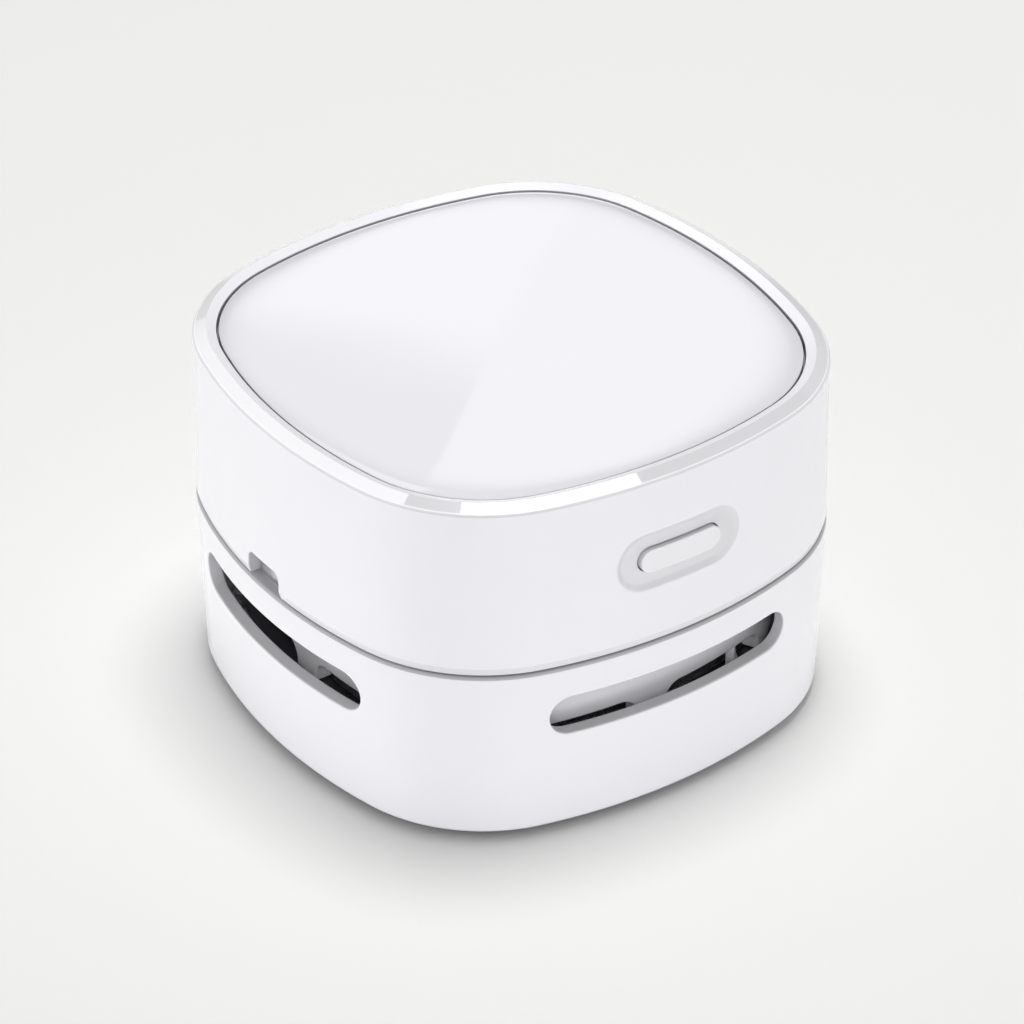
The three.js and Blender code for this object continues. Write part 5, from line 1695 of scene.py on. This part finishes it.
@dataclass
class Filter:
    """Frame with a ledge and two crossed bars, and the cloth that it carries."""

    frame_inset: float = 5.6
    frame_wall: float = 3.2
    ledge: float = 1.4
    ledge_thickness: float = 0.5
    bar: float = 1.6
    fit: float = 0.3
    cloth_thickness: float = 0.4
    quilting: float = 0.12

    def build(self) -> None:
        """Makes the frame and the cloth."""
        self.build_frame()
        self.build_cloth()

    def build_frame(self) -> None:
        """Draws the frame's ring and its bars."""
        low, high = foot_of("filter_frame"), top_of("filter_frame")
        inner = self.frame_inset + self.frame_wall
        ledge = low + self.ledge_thickness
        profile = softened([
            (self.frame_inset, (low + high) / 2, 0), (self.frame_inset, high, 0.25), (inner, high, 0.2),
            (inner, ledge, 0.1), (inner + self.ledge, ledge, 0.1), (inner + self.ledge, low, 0.1),
            (self.frame_inset, low, 0.25), (self.frame_inset, (low + high) / 2 - 0.01, 0),
        ])
        sketch = Sketch()
        sketch.ring(Columns.spaced(16, 1.4, 16).ring(profile))
        reach = 2 * (FORM.foot_loop.half - inner - self.ledge + 0.8)
        bar = slab((reach, self.bar, self.ledge_thickness), (0, 0, (low + ledge) / 2), 0.1, 0.12)
        for q in range(2):
            sketch.loft(turned_about_z(bar, q * QUARTER))
        Dresser.piece("filter_tray", sketch, "filter", "filter_frame", FRAME_DARK)

    def build_cloth(self) -> None:
        """Draws the cloth as a thin sheet that bulges a little between the bars.

        Its height rises by the quilting times the product of two sine waves across the frame, which
        vanish over the bars and at the rim.
        """
        low = foot_of("filter_mesh")
        edge = self.frame_inset + self.frame_wall + self.fit
        steps = 30
        angle, length = wall_table(edge)
        around = np.interp(np.linspace(-1, 1, 2 * steps + 1)[:-1] * length[-1] / 3, length, angle)
        around = np.concatenate([around + q * QUARTER for q in range(4)])
        loop = FORM.place(around, low, edge)
        share = np.linspace(0, 1, steps + 1)[:, None, None]
        flat = loop[None] * np.concatenate([share, share, 1 + 0 * share], axis=-1)
        half = float(loop[:, 0].max())
        wave = np.abs(np.sin(math.pi * flat[..., 0] / half) * np.sin(math.pi * flat[..., 1] / half))
        lower, upper = flat.copy(), flat.copy()
        lower[..., 2] += self.quilting * wave
        upper[..., 2] += self.cloth_thickness - 2 * self.quilting + self.quilting * wave
        sketch = Sketch()
        sketch.loft(np.concatenate([lower, upper[::-1]]))
        cloth = Dresser.piece("filter_cloth_sheet", sketch, "filter", "filter_mesh", CLOTH)


@dataclass
class ChargingPort:
    """Metal sleeve with a tongue and its contacts, behind the opening in the rear wall."""

    width: float = 9.0
    height: float = 3.2
    length: float = 7.3
    wall: float = 0.35
    tongue: float = 0.7
    contacts: int = 12

    def loop(self, shrink: float, y: float, z: float) -> np.ndarray:
        """A capsule across the rear, smaller all round by an amount."""
        across, rise = capsule((self.width - self.height) / 2, self.height / 2 - shrink, 16).T
        return np.stack([across, np.full(len(across), y), z + rise], axis=1)

    def build(self) -> None:
        """Draws the sleeve, the tongue and the contacts."""
        mouth = float(high_of("charging_port")[1])
        back = mouth - self.length
        z = (foot_of("charging_port") + top_of("charging_port")) / 2
        outside = [(0.0, mouth - 0.12), (0.04, mouth - 0.03), (0.12, mouth)]
        inside = [(self.wall - shrink, y) for shrink, y in outside[::-1]]
        rows = [(0.0, back), *outside, *inside, (self.wall, back + 2 * self.wall)]
        sketch = Sketch()
        sketch.capped([self.loop(shrink, y, z) for shrink, y in rows])
        depth = self.length - 3 * self.wall
        wide = self.width - self.height
        middle = back + self.wall + depth / 2
        sketch.loft(slab((wide, depth, self.tongue), (0, middle, z), 0.3, 0.15), 1)
        for height in (z - self.tongue / 2, z + self.tongue / 2):
            for i in range(self.contacts):
                x = (i - (self.contacts - 1) / 2) * wide / (self.contacts + 1)
                sketch.loft(slab((0.24, depth * 0.7, 0.06), (x, middle + depth * 0.1, height), 0.03, 0.02), 2)
        Dresser.piece("charging_socket", sketch, "main_unit", "charging_port",
                      PORT_STEEL, SWITCH_BLACK, CONTACT_GOLD)


def carried_over() -> dict[str, Finish]:
    """Finish of each CAD node whose own form is shown, all of them inside the casings."""
    sides = ("left", "right")
    return {
        **{f"shell_screw_{i}": SCREW_STEEL for i in range(1, 5)},
        **{f"chassis_screw_{side}": SCREW_STEEL for side in sides},
        **{f"motor_screw_{side}": SCREW_STEEL for side in sides},
        **{f"motor_terminal_{side}": BRASS for side in sides},
        **{f"motor_magnet_{side}": FERRITE for side in sides},
        "chassis_plate": CHASSIS_GREY, "motor_can": DRAWN_STEEL, "motor_end_cap": CAP_BLACK,
        "motor_shaft": GROUND_STEEL, "motor_armature": WINDING, "commutator": COMMUTATOR,
        "battery_cell": CELL_WRAP, "control_board": BOARD, "port_board": BOARD,
        "switch_body": SWITCH_BLACK, "switch_plunger": PLUNGER,
        "motor_lead_red": WIRE_RED, "battery_lead_red": WIRE_RED,
        "motor_lead_black": WIRE_BLACK, "battery_lead_black": WIRE_BLACK,
    }


# Studio


@dataclass(frozen=True)
class Lamp:
    """A soft round lamp, one metre away, placed in degrees round from +X and above the floor.

    Its level says how bright a white surface that faces it becomes, and its size is in metres.
    """

    name: str
    facing: float
    rise: float
    level: float
    size: float = 0.4

    def hang(self, linked: bpy.types.Collection | None = None) -> None:
        """Hangs the lamp. One that is linked to some pieces alone shows in no reflection."""
        data = bpy.data.lights.new(self.name, "AREA")
        data.shape, data.size = "DISK", self.size
        data.energy = self.level * math.pi**2
        lamp = placed(self.name, data)
        a, e = math.radians(self.facing), math.radians(self.rise)
        way = Vector((math.cos(a) * math.cos(e), math.sin(a) * math.cos(e), math.sin(e)))
        lamp.matrix_world = Matrix.Translation(way) @ way.to_track_quat("Z", "Y").to_matrix().to_4x4()
        lamp.visible_camera = False
        if linked:
            lamp.visible_glossy = False
            lamp.light_linking.receiver_collection = linked


@dataclass
class Studio:
    """Camera, floor and light, as in the photograph."""

    focal: float = 152.11
    sensor: float = 36.0
    frame_pixels: float = 1024.0
    distance: float = 609.97
    shift_right: float = 0.305
    shift_up: float = 18.872
    desk_rise: float = 1.2
    elevation: float = 33.942
    azimuth: float = -34.593
    gloss_line_top: tuple[float, float] = (545.0, 193.0)
    gloss_line_foot: tuple[float, float] = (440.0, 498.0)
    card_reach: float = 2.2
    card_ends: tuple[float, float] = (-1.1, 5.0)
    card_width: float = 260.0
    gloss_left: tuple[float, float] = (0.62, 1.2)
    gloss_rise: float = 0.55
    gloss_right: float = 1.1
    gloss_shade: float = 0.1
    cards_height: float = 650.0
    left_glow: tuple[float, float] = (1.0, 0.7)
    gap_glow: tuple[float, float] = (0.32, 0.5)
    gap_ends: tuple[tuple[float, float], tuple[float, float]] = ((-125.0, 200.0), (-24.0, 60.0))
    right_card: tuple[float, float] = (287.0, 800.0)
    top_glow: float = 1.95
    right_glow: float = 0.35
    surroundings: float = 0.42
    floor_color: tuple[float, float, float] = (0.98, 0.98, 0.966)

    def axes(self) -> tuple[np.ndarray, np.ndarray, np.ndarray]:
        """The camera's right, up and back directions."""
        a, e = math.radians(self.azimuth), math.radians(self.elevation)
        back = np.array([math.sin(a) * math.cos(e), -math.cos(a) * math.cos(e), math.sin(e)])
        right = np.array([math.cos(a), math.sin(a), 0.0])
        return right, np.cross(back, right), back

    def eye(self) -> np.ndarray:
        """Where the camera stands, in millimetres."""
        right, up, back = self.axes()
        place = back * self.distance + right * self.shift_right + up * self.shift_up
        return place + [0, 0, self.desk_rise]

    def camera(self) -> None:
        """Sets up the camera."""
        data = bpy.data.cameras.new("camera")
        data.lens, data.sensor_width = self.focal, self.sensor
        data.clip_start, data.clip_end = 0.01, 50.0
        camera = placed("camera", data)
        basis = Matrix([list(row) for row in np.stack(self.axes(), axis=1)])
        camera.matrix_world = Matrix.Translation(self.eye() * MM) @ basis.to_4x4()
        bpy.context.scene.camera = camera

    def floor(self) -> bpy.types.Object:
        """Lays a plain pale floor that runs out of view."""
        data = bpy.data.meshes.new("floor")
        reach = 6.0
        data.from_pydata([(-reach, -reach, 0), (reach, -reach, 0), (reach, reach, 0), (-reach, reach, 0)],
                         [], [(0, 1, 2, 3)])
        floor = placed("floor", data)
        material = bpy.data.materials.new("studio_floor")
        material.use_nodes = True
        shader = material.node_tree.nodes["Principled BSDF"]
        shader.inputs["Base Color"].default_value = (*self.floor_color, 1)
        shader.inputs["Roughness"].default_value = 0.9
        shader.inputs["Specular IOR Level"].default_value = 0.1
        data.materials.append(material)
        return floor

    def world(self) -> None:
        """Even white surroundings."""
        world = bpy.data.worlds.new("studio")
        bpy.context.scene.world = world
        world.use_nodes = True
        background = world.node_tree.nodes["Background"]
        background.inputs["Color"].default_value = (1.0, 1.0, 1.0, 1.0)
        background.inputs["Strength"].default_value = self.surroundings

    def ray(self, pixel: tuple[float, float]) -> np.ndarray:
        """Direction from the camera through a pixel of the photograph."""
        right, up, back = self.axes()
        focal = self.focal / self.sensor * self.frame_pixels
        half = self.frame_pixels / 2
        ray = right * (pixel[0] - half) + up * (half - pixel[1]) - back * focal
        return ray / np.linalg.norm(ray)

    @staticmethod
    def card(name: str, points: np.ndarray, glow: np.ndarray) -> None:
        """Hangs a glowing card that only reflections see.

        Args:
            name: the card's name.
            points: rows by columns of its points, in millimetres.
            glow: brightness at each point, where 1 is white.
        """
        rows, columns = points.shape[:2]
        index = np.arange(rows * columns).reshape(rows, columns)
        data = bpy.data.meshes.new(name)
        data.from_pydata(points.reshape(-1, 3) * MM, [], grid_quads(index).reshape(-1, 4))
        attribute = data.attributes.new("glow", "FLOAT", "POINT")
        attribute.data.foreach_set("value", np.asarray(glow, np.float32).ravel())
        material = bpy.data.materials.new(name)
        material.use_nodes = True
        tree = material.node_tree
        tree.nodes.clear()
        reader = tree.nodes.new("ShaderNodeAttribute")
        reader.attribute_name = "glow"
        light = tree.nodes.new("ShaderNodeEmission")
        output = tree.nodes.new("ShaderNodeOutputMaterial")
        tree.links.new(reader.outputs["Fac"], light.inputs["Strength"])
        tree.links.new(light.outputs["Emission"], output.inputs["Surface"])
        data.materials.append(material)
        card = placed(name, data)
        card.visible_camera = card.visible_diffuse = card.visible_shadow = False

    def lamps(self, floor: bpy.types.Object) -> None:
        """One lamp high up, whose shadow falls to the front left, and three low ones for the walls.

        The low ones leave the floor alone, so that it stays even.
        """
        spared = bpy.data.collections.new("spared_by_low_lamps")
        spared.objects.link(floor)
        spared.collection_objects[0].light_linking.link_state = "EXCLUDE"
        Lamp("overhead", 30.0, 84.0, 0.48).hang()
        Lamp("rear_left", 135.0, 9.0, 0.52).hang(spared)
        Lamp("front", -110.0, 16.0, 0.36).hang(spared)
        Lamp("right", 0.0, 6.0, 0.25).hang(spared)

    def slot_lamp(self, housing: bpy.types.Object) -> None:
        """A lamp beside the camera that reaches only the ring behind the slots."""
        reached = bpy.data.collections.new("reached_by_slot_lamp")
        reached.objects.link(housing)
        Lamp("slots", self.azimuth - 90, self.elevation, 0.36, 0.3).hang(reached)

    def gloss_card(self) -> None:
        """The two cards whose shared edge is the reflected line across the top panel.

        The panel is a mirror. Seen from the mirrored camera, the edge lies in line with the two ends of
        the reflected line, at any distance behind them. Away from the panel's own mirror image each card
        fades along a smooth step, so that the panel's rolled edge is darker than its middle.
        """
        eye = self.eye()
        level = top_of("top_panel")
        ends = []
        for pixel in (self.gloss_line_top, self.gloss_line_foot):
            ray = self.ray(pixel)
            ends.append(eye + ray * (level - eye[2]) / ray[2])
        mirrored = eye * [1, 1, -1] + [0, 0, 2 * level]
        top, foot = (mirrored + (end - mirrored) * self.card_reach for end in ends)
        left = np.cross(top - foot, mirrored - (top + foot) / 2)
        left /= np.linalg.norm(left)
        along = np.linspace(*self.card_ends, 62)[:, None]
        across = np.linspace(0.0, self.card_width, 27)[None, :]
        ends = np.where(along < 0.5, (-0.3 - along) / 0.8, (along - 1.3) / 2.3)
        fade = smooth_step(1 - np.maximum(ends, (across - 85) / 100))
        low, high = self.gloss_left
        left_glow = low + (high - low) * smooth_step(along / self.gloss_rise)
        for name, way, glow in (("gloss_left", 1, left_glow), ("gloss_right", -1, self.gloss_right)):
            points = foot + (top - foot) * along[..., None] + left * way * across[..., None]
            self.card(name, points, self.gloss_shade + (glow - self.gloss_shade) * fade)

    def rim_cards(self) -> None:
        """Cards overhead that the rim's chamfer reflects: bright, dark in the gap, bright and dark.

        They hang level. The rim's reflections cross their joints at the two edges of the gap and at the
        edge of the last bright stretch.
        """
        start, end = np.array(self.gap_ends)
        along = (end - start) / np.linalg.norm(end - start)
        across = np.array([-along[1], along[0]])
        first = start - across * 300, start + across * 550
        second = end - across * 250, end + across * 250
        far = first[0] - along * 1600 - across * 600, first[1] - along * 1600 + across * 1200
        third, fourth = (((x, -335.0), (x, 265.0)) for x in self.right_card)
        near, dim = self.left_glow
        for name, strip, glow in (
            ("rim_card_left", (first, far), (near, dim)), ("rim_card_gap", (first, second), self.gap_glow),
            ("rim_card_top", (second, third), (self.top_glow,) * 2),
            ("rim_card_right", (third, fourth), (self.right_glow,) * 2),
        ):
            level = np.insert(np.array(strip, float), 2, self.cards_height, axis=-1)
            self.card(name, level, np.repeat(glow, 2))

    def build(self) -> None:
        """Sets the whole studio up."""
        self.camera()
        self.lamps(self.floor())
        self.world()
        self.gloss_card()
        self.rim_cards()
        bpy.context.scene.view_settings.view_transform = "Standard"


def main() -> None:
    """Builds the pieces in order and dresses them."""
    logging.basicConfig(level=logging.INFO, format="%(message)s")
    studio = Studio()
    studio.build()
    for part in (LowerShell, UpperShell, TopPanel, PowerButton, FanHousing, NeckSeal, Impeller, BasePlate,
                 Brushes, GlideFeet, BaseScrews, Filter, ChargingPort):
        part().build()
    studio.slot_lamp(bpy.data.objects["blower_housing"])
    for node, finish in carried_over().items():
        Dresser.node(node, finish)


if __name__ == "__main__":
    main()
